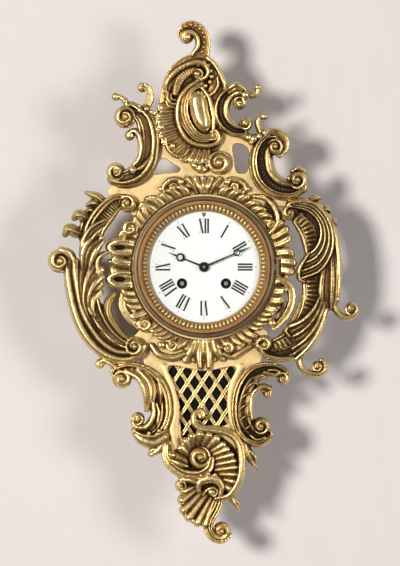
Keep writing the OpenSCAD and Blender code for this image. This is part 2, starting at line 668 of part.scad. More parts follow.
slot_half_z = 4.5;
slot_half_x = tan(swing) * (anchor_at[1] + drum_r) + 3.5;
module case_drum() {
  in_row() color(BRASS) difference() {
    rotate_extrude($fn = 96) polygon([[rear_r, hanger_t], [drum_r, hanger_t],
      [drum_r, ground_back - flange_t],
      [drum_flange_r, ground_back - flange_t], [drum_flange_r, ground_back],
        [drum_r - drum_wall, ground_back],
      [drum_r - drum_wall, flange_front], [rear_r, flange_front]]);
    translate([-slot_half_x, -drum_r - cut, swing_z - slot_half_z])
      cube([2 * slot_half_x, 20, 2 * slot_half_z]);
    for (p = drum_holes) at(p) rod(case_screw_r + 0.1, ground_back - flange_t - cut, ground_back + cut);
    for (p = hanger_holes) at(p) rod(case_screw_r + 0.1, hanger_t - cut, flange_front + cut);
    for (a = strap_turn) at(polar(strap_screw_at, a)) rod(1.9, hanger_t - cut, flange_front + cut);
  }
  in_row() color(BRASS) for (s = [-1, 1]) translate([door_axis[0], s * 6, door_axis[1]]) difference() {
    union() {
      rotate([90, 0, 0]) cylinder(r = door_knuckle_r, h = 5, center = true);
      translate([-door_knuckle_r, -2.5, 0]) cube([2 * door_knuckle_r, 5, hanger_t - door_axis[1]]);
    }
    rotate([90, 0, 0]) cylinder(r = door_pin_r, h = 7, center = true);
  }
}

hanger_half = 15;
hanger_foot = rear_r + 2;
module hanger_plate() {
  in_row() color(STEEL) difference() {
    slab(0, hanger_t) {
      translate([-hanger_half, hanger_foot]) square([2 * hanger_half, hanger_rise - hanger_foot]);
      translate([0, hanger_rise]) circle(hanger_half, $fn = 72);
    }
    translate([0, hanger_rise, -cut]) cylinder(r = hanger_hole_r, h = hanger_t + 2 * cut, $fn = 72);
    for (p = hanger_holes) at(p) rod(case_screw_r, hanger_t / 4, hanger_t + cut);
  }
}

button_r = 5;
button_at = [for (a = [235, 305]) polar(drum_r - 6, a)];
module wall_buttons() {
  in_row() color(BRASS) for (p = button_at) at(p) rod(button_r, 0, hanger_t);
}

// Rear door
door_knob_at = [door_r - 9, 0];
module back_door() {
  in_row() color(BRASS) difference() {
    union() {
      rod(door_r, hanger_t, flange_front);
      at(door_knob_at) rod(4, 0.4, flange_front);
      translate([door_axis[0], 0, door_axis[1]]) rotate([90, 0, 0])
        cylinder(r = door_knuckle_r, h = 6, center = true);
      translate([door_axis[0], -3, door_axis[1] - 0.7])
        cube([12, 6, hanger_t - free_gap - door_axis[1] + 0.7]);
      translate([cut - door_r, -3, door_axis[1]]) cube([10, 6, flange_front - door_axis[1]]);
    }
    translate([door_axis[0], 0, door_axis[1]]) rotate([90, 0, 0])
      cylinder(r = door_pin_r + run_gap, h = 8, center = true);
  }
}
module back_door_hinge_pin() {
  in_row() color(STEEL) translate([door_axis[0], 0, door_axis[1]]) rotate([90, 0, 0])
    cylinder(r = door_pin_r, h = 17, center = true);
}

// Bezel, its fixed base and the glass
module bezel_base() {
  in_row() color(GILT) difference() {
    union() {
      rotate_extrude($fn = 96) polygon([[lip_r, lip_back], [spigot_r, lip_back], [spigot_r, case_depth],
        [bezel_r - 1.5, case_depth], [bezel_r - 1.5, base_front], [seat_r, base_front],
          [seat_r, dial_plate_back],
        [lip_r, dial_plate_back]]);
      for (s = [-1, 1]) translate([0, s * (knuckle_half + 0.2 + lug_end) / 2, 0]) {
        w = lug_end - knuckle_half - 0.2;
        translate([bezel_r - 4, -w / 2, case_depth]) cube([hinge_x + knuckle_r - bezel_r + 4, w, base_t]);
        translate([hinge_x - 2, -w / 2, case_depth]) cube([4, w, hinge_z - case_depth]);
        translate([hinge_x, w / 2, hinge_z]) rotate([90, 0, 0]) cylinder(r = knuckle_r, h = w);
      }
    }
    translate([hinge_x, lug_end + cut, hinge_z]) rotate([90, 0, 0])
      cylinder(r = bezel_pin_r, h = 2 * (lug_end + cut));
    for (a = strap_turn) at(polar(strap_foot_at, a)) rod(screw_r, lip_back - cut, dial_plate_back + cut);
    at([0, regulator_y]) rod(regulator_r + free_gap, lip_back - cut, dial_plate_back + cut);
  }
}
module bezel() {
  in_row() color(GILT) difference() {
    union() {
      rotate_extrude($fn = 96) polygon([[bezel_bore, bezel_back], [bezel_r, bezel_back],
        [bezel_r, bezel_back + 2.6],
        [bezel_r - 0.8, bezel_back + 3.4], [bezel_r - 3.5, bezel_back + 4.4],
          [bezel_r - 4.8, bezel_front - 2],
        [bezel_r - 5.6, bezel_front], [bezel_lip_r, bezel_front], [bezel_lip_r, glass_seat],
          [bezel_bore, glass_seat]]);
      translate([hinge_x, knuckle_half, hinge_z]) rotate([90, 0, 0])
        cylinder(r = knuckle_r, h = 2 * knuckle_half);
      translate([bezel_r - 3, -knuckle_half, hinge_z - 1.5])
        cube([hinge_x - bezel_r + 3, 2 * knuckle_half, 3]);
    }
    translate([hinge_x, knuckle_half + cut, hinge_z]) rotate([90, 0, 0])
      cylinder(r = bezel_pin_r + run_gap, h = 2 * (knuckle_half + cut));
  }
}
module bezel_hinge_pin() {
  in_row() color(STEEL) translate([hinge_x, lug_end, hinge_z]) rotate([90, 0, 0])
    cylinder(r = bezel_pin_r, h = 2 * lug_end);
}
glass_steps = 8;
glass_rise = 4.5;
glass_edge = bezel_bore;
glass_bow_r = bezel_lip_r - 0.3;
function bow(r, rr, z) = z + glass_rise * (1 - r * r / (rr * rr));
module bezel_glass() {
  outer = [for (i = [0:glass_steps]) let (r = glass_bow_r * (1 - i / glass_steps)) [r, bow(r,
    glass_bow_r, glass_seat)]];
  inner_r = glass_bow_r - 2;
  inner = [for (i = [glass_steps:-1:0]) let (r = inner_r * (1 - i / glass_steps)) [r, bow(r, inner_r,
    glass_seat - glass_t)]];
  in_row() color(CLEAR) rotate_extrude($fn = 96) polygon(concat([[glass_edge, glass_seat - glass_t],
    [glass_edge, glass_seat]], outer, inner));
}
sight_front = glass_seat - glass_t;
module sight_ring() {
  in_row() color(GILT) rotate_extrude($fn = 96) polygon([[sight_r, bezel_back + 0.6],
    [bezel_bore, bezel_back + 0.6], [bezel_bore, sight_front],
    [bezel_bore - 2, sight_front], [sight_r + 2.5, bezel_back + 3.4], [sight_r, bezel_back + 1.8]]);
}

// Dial
module dial_plate() {
  in_row() color(BRASS) difference() {
    rod(seat_r, dial_plate_back, dial_back);
    rod(hour_pipe_r + 4, dial_plate_back - cut, dial_back + cut);
    for (p = [going_at, strike_at]) at(p) rod(wind_hole_r + 1, dial_plate_back - cut, dial_back + cut);
    at([0, regulator_y]) rod(regulator_r + run_gap, dial_plate_back - cut, dial_back + cut);
    for (p = post_at) at(p) rod(screw_r, dial_plate_back - cut, dial_back + cut);
  }
}
module dial() {
  in_row() color(ENAMEL) difference() {
    rod(dial_r, dial_back, dial_front);
    rod(hour_pipe_r + 1, dial_back - cut, dial_front + cut);
    for (p = [going_at, strike_at]) at(p) rod(wind_hole_r, dial_back - cut, dial_front + cut);
    at([0, regulator_y]) rod(regulator_r + 0.5, dial_back - cut, dial_front + cut);
  }
}

// Moon hands: a tapering bar, an open moon and a point
hand_t = 0.6;
hour_z = dial_front + 2;
minute_z = hour_z + 2.2;
module moon_hand(len, moon_at, moon_r, hub_r, bore, root_w) {
  difference() {
    union() {
      circle(hub_r);
      polygon([[-root_w, 0], [root_w, 0], [root_w * 0.6, moon_at - moon_r + 0.6],
        [-root_w * 0.6, moon_at - moon_r + 0.6]]);
      translate([0, moon_at]) circle(moon_r);
      polygon([[-1.1, moon_at + moon_r - 0.6], [1.1, moon_at + moon_r - 0.6], [0.15, len], [-0.15, len]]);
    }
    translate([0, moon_at + moon_r * 0.12]) circle(moon_r * 0.62);
    circle(bore);
  }
}
module hour_hand() {
  in_row() color(BLUED) rotate(-hour_angle) slab(hour_z, hour_z + hand_t)
    moon_hand(hour_len, hour_len * 0.666, 4.3, 5, hour_pipe_r, 1.1);
}
module minute_hand() {
  in_row() color(BLUED) rotate(-minute_angle) slab(minute_z, minute_z + hand_t)
    moon_hand(minute_len, minute_len * 0.704, 3.4, 4.4, cannon_r, 1.0);
}
module hand_collet() {
  in_row() color(BLUED) difference() {
    union() {
      rod(4, minute_z + hand_t, minute_z + hand_t + 0.8);
      rod(2.6, minute_z + hand_t, minute_z + hand_t + 2);
    }
    rod(cannon_r, minute_z, minute_z + hand_t + 0.4);
    rod(centre_arbor_r + run_gap, minute_z, minute_z + 2 * hand_t + 2);
  }
}

// Motion work
cannon_z = front_face + 1;
minute_wheel_z = front_face + 1.5;
hour_wheel_z = front_face + 5;
module cannon_pinion() {
  in_row() color(STEEL) difference() {
    union() {
      gear(cannon_n, cannon_m, LEAF_TOOTH, cannon_z, cannon_z + 3, 0);
      rod(cannon_r, cannon_z, minute_z + hand_t + 0.4);
    }
    rod(centre_arbor_r + run_gap, cannon_z - cut, minute_z + hand_t + cut);
  }
}
module minute_wheel() {
  in_row() color(BRASS) at(minute_at) difference() {
    union() {
      gear(minute_n, cannon_m, WHEEL_TOOTH, minute_wheel_z, minute_wheel_z + 2, minute_turn);
      gear(minute_leaf, hour_m, LEAF_TOOTH, minute_wheel_z, front_face + 7, 0);
    }
    rod(1 + run_gap, minute_wheel_z - cut, front_face + 8);
  }
}
module hour_wheel() {
  in_row() color(BRASS) difference() {
    union() {
      gear(hour_n, hour_m, WHEEL_TOOTH, hour_wheel_z, hour_wheel_z + 1.5, hour_turn);
      rod(hour_pipe_r, hour_wheel_z, hour_z + hand_t);
    }
    rod(cannon_r + run_gap, hour_wheel_z - cut, hour_z + hand_t + cut);
  }
}

// Plates and what holds them
train_pivots = [inter_at, third_at, escape_at, pin_at, fly_at];
bell_post_r = 2.5;
cock_leg = [7, 44];
module plate_bores(z0, z1) {
  for (p = train_pivots) at(p) rod(pivot_r + run_gap, z0, z1);
  for (p = [going_at, strike_at]) at(p) rod(wind_r + run_gap, z0, z1);
  for (p = pillar_at) at(p) rod(screw_r + 0.1, z0, z1);
}
module front_plate() {
  in_row() color(BRASS) {
    difference() {
      rod(plate_r, front_back, front_face);
      plate_bores(front_back - cut, front_face + cut);
      rod(centre_arbor_r + run_gap, front_back - cut, front_face + cut);
      for (p = [anchor_at, second_at, hammer_at]) at(p)
        rod(pivot_r + run_gap, front_back - cut, front_face + cut);
      for (p = post_at) at(p) rod(screw_r, front_back - cut, front_face + cut);
      at(minute_at) rod(1, front_back - cut, front_face + cut);
    }
    at(minute_at) rod(1, front_back, front_face + 7.2);
    for (s = [1, -1]) click(s);
  }
}
// a ratchet click on its post beside each winding arbor
module click(s) {
  centre = [s * wind_x, -wind_y];
  post = centre + polar(12.5, 90 - s * 15);
  tip = centre + polar(ratchet_r + 0.25 + 0.6, 90 - s * 45);
  slab(front_face + 1, front_face + 3) hull() {
    at(post) circle(1.6, $fn = 16);
    at(tip) circle(0.6, $fn = 12);
  }
  at(post) rod(1, front_face, front_face + 1);
}
module back_plate() {
  in_row() color(BRASS) difference() {
    rod(plate_r, back_back, back_face);
    plate_bores(back_back - cut, back_face + cut);
    at(hub) rod(pivot_r + run_gap, back_back - cut, back_face + cut);
    for (p = [anchor_at, second_at, hammer_at]) at(p)
      rod(arbor_r + run_gap, back_back - cut, back_face + cut);
  }
}
module pillars() {
  in_row() color(BRASS) for (p = pillar_at) at(p) difference() {
    rod(pillar_r, back_face, front_back);
    for (z = [back_face - cut, front_back - 5]) rod(screw_r, z, z + 5 + cut);
  }
}
module dial_posts() {
  in_row() color(BRASS) for (p = post_at) at(p) {
    rod(post_r, front_face, dial_plate_back);
    rod(screw_r, front_back, dial_back);
  }
}
strap_w = 10;
module movement_straps() {
  in_row() color(STEEL) for (a = strap_turn) rotate(a) difference() {
    union() {
      translate([seat_r + 0.6, -strap_w / 2, flange_front + 3])
        cube([1.5, strap_w, lip_back - flange_front - 3]);
      translate([lip_r + 1, -strap_w / 2, lip_back - 1.5]) cube([seat_r - lip_r, strap_w, 1.5]);
      translate([strap_screw_at - 3.4, -strap_w / 2, flange_front + 3]) cube([5, strap_w, 3]);
    }
    at([strap_screw_at, 0]) rod(1.5, flange_front, flange_front + 7);
    at([strap_foot_at, 0]) rod(screw_r + 0.1, lip_back - 3, lip_back + cut);
  }
}
module movement_screws() {
  in_row() color(STEEL) {
    for (p = pillar_at) at(p) {
      rod(2.4, front_face, front_face + 1);
      rod(screw_r, front_back - 5, front_face + 0.5);
      rod(2.4, back_back - 1, back_back);
      rod(screw_r, back_back - 0.5, back_face + 5);
    }
    for (a = strap_turn) at(polar(strap_foot_at, a)) {
      rod(2.2, lip_back - 3, lip_back - 1.5);
      rod(screw_r, lip_back - 2, dial_plate_back);
    }
    for (a = strap_turn) at(polar(strap_screw_at, a)) {
      rod(3, 1, hanger_t);
      rod(1.5, 2, flange_front + 6);
    }
  }
}

// Going train
module barrel(p) {
  in_row() color(BRASS) at(p) difference() {
    union() {
      gear(great_n, great_m, WHEEL_TOOTH, barrel_back, barrel_back + barrel_flange, 0);
      rod(barrel_r, barrel_back, barrel_front);
    }
    rod(barrel_r - barrel_wall, barrel_back + barrel_flange, barrel_front - 1.5);
    rod(wind_r + run_gap, barrel_back - cut, barrel_front + cut);
  }
}
spring_turns = 6;
spring_t = 0.45;
spring_steps = 20;
spring_out = barrel_r - barrel_wall;
spring_in = core_r + 1.4;
function coil(i) = spring_in + (spring_out - spring_in) * i / (spring_turns * spring_steps);
module mainspring(p) {
  side = [for (i = [0:spring_turns * spring_steps]) polar(coil(i), 360 / spring_steps * i)];
  inner = [for (i = [spring_turns * spring_steps:-1:0]) polar(coil(i) - spring_t,
    360 / spring_steps * i)];
  in_row() color(STEEL) at(p) slab(barrel_back + barrel_flange + 0.5, barrel_front - 2)
    polygon(concat(side, inner));
}
module winding_arbor(p) {
  in_row() color(STEEL) at(p) {
    rod(wind_r, back_back, front_face + 3);
    rod(core_r, barrel_back + barrel_flange + 0.4, barrel_front - 1.9);
    slab(front_face + 1, front_face + 3) polygon([for (i = [0:ratchet_n - 1], k = [0, 1])
      polar(k == 0 ? ratchet_r : ratchet_r - 1.3, 360 / ratchet_n * (i + k * 0.2))]);
    slab(front_face + 2.5, dial_back - 0.5) square(wind_square, center = true);
  }
}
module going_barrel() {
  barrel(going_at);
}
module going_mainspring() {
  mainspring(going_at);
}
module going_arbor() {
  winding_arbor(going_at);
}
inter_wheel_z = front_back - 6;
module intermediate_wheel() {
  in_row() color(BRASS) {
    pivoted(inter_at);
    at(inter_at) {
      gear(inter_leaf, great_m, LEAF_TOOTH, barrel_back - 1.5, barrel_back + 4, inter_leaf_turn);
      gear(inter_n, inter_m, WHEEL_TOOTH, inter_wheel_z, inter_wheel_z + 1.5, 0);
    }
  }
}
module centre_wheel() {
  in_row() color(BRASS) {
    rod(pivot_r, back_back, back_face + 1);
    rod(centre_arbor_r, back_face + shoulder, minute_z + 2 * hand_t + 0.6);
    gear(centre_leaf, inter_m, LEAF_TOOTH, inter_wheel_z - 1.5, inter_wheel_z + 3, centre_leaf_turn);
    gear(centre_n, centre_m, WHEEL_TOOTH, front_back - 2.2, front_back - 1, 0);
  }
}
third_wheel_z = back_face + 20;
module third_wheel() {
  in_row() color(BRASS) {
    pivoted(third_at);
    at(third_at) {
      gear(third_leaf, centre_m, LEAF_TOOTH, front_back - 3, front_back - 0.5, third_leaf_turn);
      gear(third_n, third_m, WHEEL_TOOTH, third_wheel_z, third_wheel_z + 1, 0);
    }
  }
}
escape_z = back_face + 13;
module escape_wheel() {
  in_row() color(BRASS) {
    pivoted(escape_at);
    at(escape_at) {
      gear(escape_leaf, third_m, LEAF_TOOTH, third_wheel_z - 2, third_wheel_z + 3, escape_leaf_turn);
      slab(escape_z, escape_z + 1.2) polygon([for (i = [0:escape_n - 1], k = [0:3])
        let (tip = k == 1 || k == 2, side = k < 2 ? -1 : 1)
        polar(tip ? escape_r : escape_root,
          escape_turn + escape_pitch * (i + side / 2 * (tip ? 0.08 : 0.5)))]);
    }
  }
}
// the anchor carries the two pallet pins in front of the escape wheel and the crutch behind the plate
crutch_z = back_back - 4;
crutch_y = 12;
module anchor() {
  arm_z = escape_z + 2.2;
  in_row() color(STEEL) {
    at(anchor_at) {
      rod(arbor_r, crutch_z, front_back - shoulder);
      rod(pivot_r, front_back - 1, front_face);
    }
    for (s = [-1, 1]) {
      pin = escape_at + polar(pallet_reach, 90 + s * pallet_half);
      slab(arm_z, arm_z + 1.5) hull() {
        at(anchor_at) circle(2.4, $fn = 24);
        at(pin) circle(1, $fn = 16);
      }
      at(pin) rod(pallet_r, escape_z - 0.6, arm_z + 0.5);
    }
    slab(crutch_z, crutch_z + 1.5) {
      at(anchor_at) circle(3);
      translate([-1.5, crutch_y - 2]) square([3, anchor_at[1] - crutch_y]);
    }
    at([0, crutch_y]) rod(0.8, swing_z - 2, crutch_z + 0.5);
  }
}

// Suspension and pendulum
spring_top = anchor_at[1] + 3.5;
spring_foot = anchor_at[1] - 7;
module suspension_cock() {
  in_row() color(BRASS) difference() {
    union() {
      for (s = [-1, 1]) translate([s * cock_leg[0] - 2, cock_leg[1] - 4, swing_z - 3])
        cube([4, 13, back_back - swing_z + 3]);
      translate([-cock_leg[0], spring_top, swing_z - 3])
        cube([2 * cock_leg[0], cock_leg[1] + 9 - spring_top, 6]);
      translate([-3, regulator_y - 3, swing_z - 3]) cube([6, 6, 6]);
    }
    at([0, regulator_y]) rod(regulator_r + run_gap, swing_z - 4, swing_z + 4);
  }
}
module suspension_spring() {
  in_row() color(STEEL) {
    translate([-1.5, spring_foot, swing_z - 0.1]) cube([3, spring_top - spring_foot, 0.2]);
    translate([-2.5, spring_top - 2, swing_z - 1]) cube([5, 2, 2]);
    translate([-2.5, spring_foot - 2, swing_z - 1]) cube([5, 2.5, 2]);
  }
}
bob_y = anchor_at[1] - pendulum_len;
bob_half = 6;
rod_foot = bob_y - bob_r - 12;
eye_r = 3;
module pendulum() {
  in_row() color(BRASS) translate([0, 0, swing_z]) {
    difference() {
      union() {
        translate([0, rod_foot, 0]) rotate([-90, 0, 0])
          cylinder(r = rod_r, h = spring_foot - 2 - rod_foot);
        translate([0, crutch_y, -1]) cylinder(r = eye_r, h = 2);
      }
      translate([0, crutch_y, -3]) cylinder(r = 1.1, h = 6);
    }
    translate([0, bob_y, 0]) difference() {
      rotate_extrude($fn = 72) polygon([[0, -bob_half], [bob_r * 0.45, -bob_half * 0.85],
        [bob_r * 0.8, -bob_half * 0.45], [bob_r, -0.6],
        [bob_r, 0.6], [bob_r * 0.8, bob_half * 0.45], [bob_r * 0.45, bob_half * 0.85], [0, bob_half]]);
      translate([0, -bob_r - cut, 0]) rotate([-90, 0, 0]) cylinder(r = rod_r, h = 2 * (bob_r + cut));
    }
  }
}
module rating_nut() {
  in_row() color(BRASS) translate([0, bob_y - bob_r - 4, swing_z]) rotate([-90, 0, 0]) difference() {
    cylinder(r = 4.5, h = 4, $fn = 24);
    translate([0, 0, -cut]) cylinder(r = rod_r + run_gap, h = 4 + 2 * cut, $fn = 24);
  }
}
module regulator_arbor() {
  in_row() color(STEEL) at([0, regulator_y]) {
    rod(regulator_r, swing_z - 4, dial_front - 0.4);
    rod(2.4, swing_z - 5, swing_z - 3.2);
  }
}

// Strike train
module strike_barrel() {
  barrel(strike_at);
}
module strike_mainspring() {
  mainspring(strike_at);
}
module strike_arbor() {
  winding_arbor(strike_at);
}
second_wheel_z = front_back - 7;
module second_wheel() {
  in_row() color(BRASS) {
    at(second_at) {
      rod(arbor_r, back_back - 2.6, front_back - shoulder);
      rod(pivot_r, front_back - 1, front_face);
      gear(inter_leaf, great_m, LEAF_TOOTH, barrel_back - 1.5, barrel_back + 4, second_leaf_turn);
      gear(second_n, second_m, WHEEL_TOOTH, second_wheel_z, second_wheel_z + 1.2, 0);
      // the count wheel turns on the same arbor behind the plate
      slab(back_back - 2.6, back_back - 1.4) difference() {
        circle(count_r);
        for (i = [1:11]) rotate(i * (i + 1) / 2 * 360 / 78) translate([count_r - 2, -0.6])
          square([3, 1.2]);
      }
    }
  }
}
pin_wheel_z = back_face + 15;
module pin_wheel() {
  in_row() color(BRASS) {
    pivoted(pin_at);
    at(pin_at) {
      gear(pin_leaf, second_m, LEAF_TOOTH, second_wheel_z - 1.5, second_wheel_z + 3, pin_leaf_turn);
      gear(pin_n, pin_m, WHEEL_TOOTH, pin_wheel_z, pin_wheel_z + 1, 0);
      for (i = [0:lift_pins - 1]) at(polar(lift_pin_at, 360 / lift_pins * i))
        rod(lift_pin_r, pin_wheel_z - 2.5, pin_wheel_z + 0.5);
    }
  }
}
module fly() {
  in_row() color(BRASS) {
    pivoted(fly_at);
    at(fly_at) {
      gear(fly_leaf, pin_m, LEAF_TOOTH, pin_wheel_z - 1.5, pin_wheel_z + 3, fly_leaf_turn);
      translate([-fly_r, -0.3, back_face + 3]) cube([2 * fly_r, 0.6, 8]);
    }
  }
}
hammer_z = bell_crown + 2.6;
hammer_head = bell_at + [-bell_r - 3.5, 0];
hammer_head_r = 2.5;
module hammer() {
  reach = norm(pin_at - hammer_at) - lift_pin_at - lift_pin_r - 0.5;
  in_row() color(STEEL) {
    at(hammer_at) {
      rod(arbor_r, hammer_z, front_back - shoulder);
      rod(pivot_r, front_back - 1, front_face);
      rotate(bearing(hammer_at, pin_at)) slab(pin_wheel_z - 2, pin_wheel_z - 0.5)
        translate([0, -0.8]) square([reach, 1.6]);
    }
    slab(hammer_z, hammer_z + 2) hull() {
      at(hammer_at) circle(2.2, $fn = 24);
      at(hammer_head) circle(1.2, $fn = 16);
    }
    at(hammer_head) rod(hammer_head_r, hammer_z - 1.5, hammer_z + 5);
  }
}
bell_t = 1.6;
stud_r = 1.9;
module bell() {
  in_row() color(BRASS) at(bell_at) translate([0, 0, bell_crown]) rotate_extrude($fn = 72)
    polygon([[stud_r, 0], [10, 0.4], [18, 1.8],
    [24, 4.6], [27, 7.6], [bell_r, bell_h], [bell_r - 1.4, bell_h], [25.5, 7.9], [22.8, 5.6],
      [17.3, 3.3], [9.7, 2], [6, bell_t], [stud_r, bell_t]]);
}
module bell_stand() {
  in_row() color(BRASS) {
    at(bell_stand_at) rod(bell_post_r, bell_crown - bell_arm_t, back_back);
    slab(bell_crown - bell_arm_t, bell_crown) hull() {
      at(bell_stand_at) circle(3);
      at(bell_at) circle(3);
    }
    at(bell_at) {
      rod(stud_r, bell_crown - 1, bell_crown + 4);
      difference() {
        rod(4, bell_crown + bell_t, bell_crown + bell_t + 2);
        rod(stud_r, bell_crown, bell_crown + 5);
      }
    }
  }
}

case_ground();
crest_shell();
crest_cabochon();
crest_scroll_left();
crest_scroll_right();
side_branch_left();
side_branch_right();
dial_surround();
apron_scroll_left();
apron_scroll_right();
lattice_grille();
grille_cloth();
base_shell();
case_screws();
case_drum();
hanger_plate();
wall_buttons();
back_door();
back_door_hinge_pin();
bezel_base();
bezel();
bezel_glass();
sight_ring();
bezel_hinge_pin();
dial_plate();
dial();
hour_hand();
minute_hand();
hand_collet();
front_plate();
back_plate();
pillars();
dial_posts();
movement_straps();
movement_screws();
cannon_pinion();
minute_wheel();
hour_wheel();
going_barrel();
going_mainspring();
going_arbor();
intermediate_wheel();
centre_wheel();
third_wheel();
escape_wheel();
anchor();
suspension_cock();
suspension_spring();
pendulum();
rating_nut();
regulator_arbor();
strike_barrel();
strike_mainspring();
strike_arbor();
second_wheel();
pin_wheel();
fly();
hammer();
bell();
bell_stand();
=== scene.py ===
"""Dresses the cartel clock: chased gilt bronze, egg and dart bezel, enamel dial and a plain studio."""

import json
import math

import bpy
import numpy as np
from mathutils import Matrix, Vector


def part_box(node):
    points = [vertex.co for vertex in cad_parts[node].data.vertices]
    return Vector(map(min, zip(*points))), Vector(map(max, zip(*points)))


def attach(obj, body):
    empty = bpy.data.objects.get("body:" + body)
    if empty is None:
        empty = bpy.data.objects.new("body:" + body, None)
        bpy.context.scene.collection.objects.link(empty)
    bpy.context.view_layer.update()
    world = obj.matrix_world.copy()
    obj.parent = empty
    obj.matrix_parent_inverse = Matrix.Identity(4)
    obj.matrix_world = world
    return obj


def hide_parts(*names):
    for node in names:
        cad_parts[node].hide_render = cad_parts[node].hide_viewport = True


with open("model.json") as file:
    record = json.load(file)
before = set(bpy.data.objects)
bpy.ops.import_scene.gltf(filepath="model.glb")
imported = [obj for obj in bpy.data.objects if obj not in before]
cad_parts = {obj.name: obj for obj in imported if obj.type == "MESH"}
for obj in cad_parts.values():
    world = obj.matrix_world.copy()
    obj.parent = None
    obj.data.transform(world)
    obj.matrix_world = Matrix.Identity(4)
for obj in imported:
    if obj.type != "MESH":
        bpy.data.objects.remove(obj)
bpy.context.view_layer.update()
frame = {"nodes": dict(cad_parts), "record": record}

bl_info = {
    "name": "Cartel clock",
    "version": (1, 0, 0),
    "blender": (4, 5, 0),
    "location": "View3D > Sidebar > Clock",
    "description": "Builds the looks of a gilt bronze cartel clock around its solid frame",
    "category": "Object",
}

# Sizes read from the frame: metres in the frame, millimetres in the ornament's drawing
MM = 0.001
DIAL_LOW, DIAL_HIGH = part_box("dial")
DIAL_CENTRE = (DIAL_LOW + DIAL_HIGH) / 2
DIAL_FRONT = -DIAL_LOW.y / MM
FACE = -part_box("case_ground")[0].y / MM
GROUND_BACK = -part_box("case_ground")[1].y / MM
GRILLE_BACK = -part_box("lattice_grille")[1].y / MM
BEZEL_R = (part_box("bezel")[1].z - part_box("bezel")[0].z) / 2 / MM
SIGHT_FRONT = -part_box("sight_ring")[0].y / MM
EGG_SINK = 1.9
DIAL_LAP = 2
SIGHT_R = (DIAL_HIGH.z - DIAL_LOW.z) / 2 / MM - DIAL_LAP
SURROUND_GAP = 2
SURROUND_R = BEZEL_R + SURROUND_GAP
BRANCH_R = SURROUND_R + 1.5
GROUND_R = SURROUND_R + 12
THROAT_R = SURROUND_R - 10
HINGE_ROOM = 2.4
HINGE_END_ROOM = 1.5
NOTCH_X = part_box("bezel_hinge_pin")[1].x / MM + HINGE_ROOM
NOTCH_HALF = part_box("bezel_hinge_pin")[1].z / MM - DIAL_CENTRE.z / MM + HINGE_END_ROOM


def to_frame(x, y, z):
    """Turns drawing millimetres (right, up, out from the wall) into metres in the frame."""
    x, y, z = np.broadcast_arrays(x, y, z)
    return np.stack([DIAL_CENTRE.x + x * MM, -z * MM, DIAL_CENTRE.z + y * MM], axis=-1)


class CLOCK_PG_castings(bpy.types.PropertyGroup):
    """Sizes and colours of the castings."""

    grid: bpy.props.FloatProperty(name="Grid", description="Spacing of the points on the ornament",
                                  default=0.0005, unit="LENGTH")
    # Patina and bright gold end the relief's colour ramp: patina with painted shade in the hollows, bright
    # gold with painted highlight on the ridges
    patina: bpy.props.FloatVectorProperty(name="Patina", description="Colour left in the hollows", size=3,
                                          subtype="COLOR", default=(0.021, 0.0115, 0.004))
    copper: bpy.props.FloatVectorProperty(name="Copper", description="Colour where the gilding is thin",
                                          size=3, subtype="COLOR", default=(0.185, 0.100, 0.040))
    gold: bpy.props.FloatVectorProperty(name="Gold", description="Colour of the gilding on plain surfaces",
                                        size=3, subtype="COLOR", default=(0.35, 0.218, 0.076))
    bright: bpy.props.FloatVectorProperty(name="Bright gold", description="Colour of the burnished ridges",
                                          size=3, subtype="COLOR", default=(0.80, 0.60, 0.275))
    matt: bpy.props.FloatVectorProperty(name="Matt gold", description="Colour of the flat ground", size=3,
                                        subtype="COLOR", default=(0.64, 0.465, 0.225))
    bezel: bpy.props.FloatVectorProperty(name="Bezel", description="Colour of the worn bezel", size=3,
                                         subtype="COLOR", default=(0.18, 0.13, 0.068))


class CLOCK_PG_dial(bpy.types.PropertyGroup):
    """Sizes and colours of the dial."""

    egg_count: bpy.props.IntProperty(name="Eggs",
                                     description="Eggs around the sight ring, each followed by a dart",
                                     default=46)
    egg_radius: bpy.props.FloatProperty(name="Egg ring", description="Radius of the ring of eggs and darts",
                                        default=0.0608, unit="LENGTH")
    figure_radius: bpy.props.FloatProperty(name="Figures", description="Radius of the middle of the figures",
                                           default=0.0412, unit="LENGTH")
    figure_height: bpy.props.FloatProperty(name="Figure height", description="Height of a figure",
                                           default=0.0145, unit="LENGTH")
    minute_radius: bpy.props.FloatProperty(name="Minute marks", description="Radius of the minute marks",
                                           default=0.0515, unit="LENGTH")
    enamel: bpy.props.FloatVectorProperty(name="Enamel", description="Colour of the dial", size=3,
                                          subtype="COLOR", default=(0.965, 0.98, 0.985))
    ink: bpy.props.FloatVectorProperty(name="Ink", description="Colour of the figures", size=3,
                                       subtype="COLOR", default=(0.012, 0.012, 0.014))


class CLOCK_PG_stage(bpy.types.PropertyGroup):
    """Wall, light and camera."""

    wall: bpy.props.FloatVectorProperty(name="Wall", description="Colour of the wall", size=3,
                                        subtype="COLOR", default=(0.80, 0.752, 0.735))
    distance: bpy.props.FloatProperty(name="Distance", description="From the camera to the wall", default=3.0,
                                      unit="LENGTH")
    view_height: bpy.props.FloatProperty(name="View height", description="Height shown at the ornament",
                                         default=0.566, unit="LENGTH")
    aim: bpy.props.FloatVectorProperty(name="Aim",
                                       description="Point of the ornament at the picture's middle", size=3,
                                       subtype="XYZ", unit="LENGTH", default=(-0.004, -0.083, -0.090))
    key: bpy.props.FloatProperty(name="Key light", description="Power of the main lamp", default=132.0,
                                 unit="POWER")
    fill: bpy.props.FloatProperty(name="Fill light", description="Power of the lamp on the right",
                                  default=64.0, unit="POWER")


# Curves and mouldings

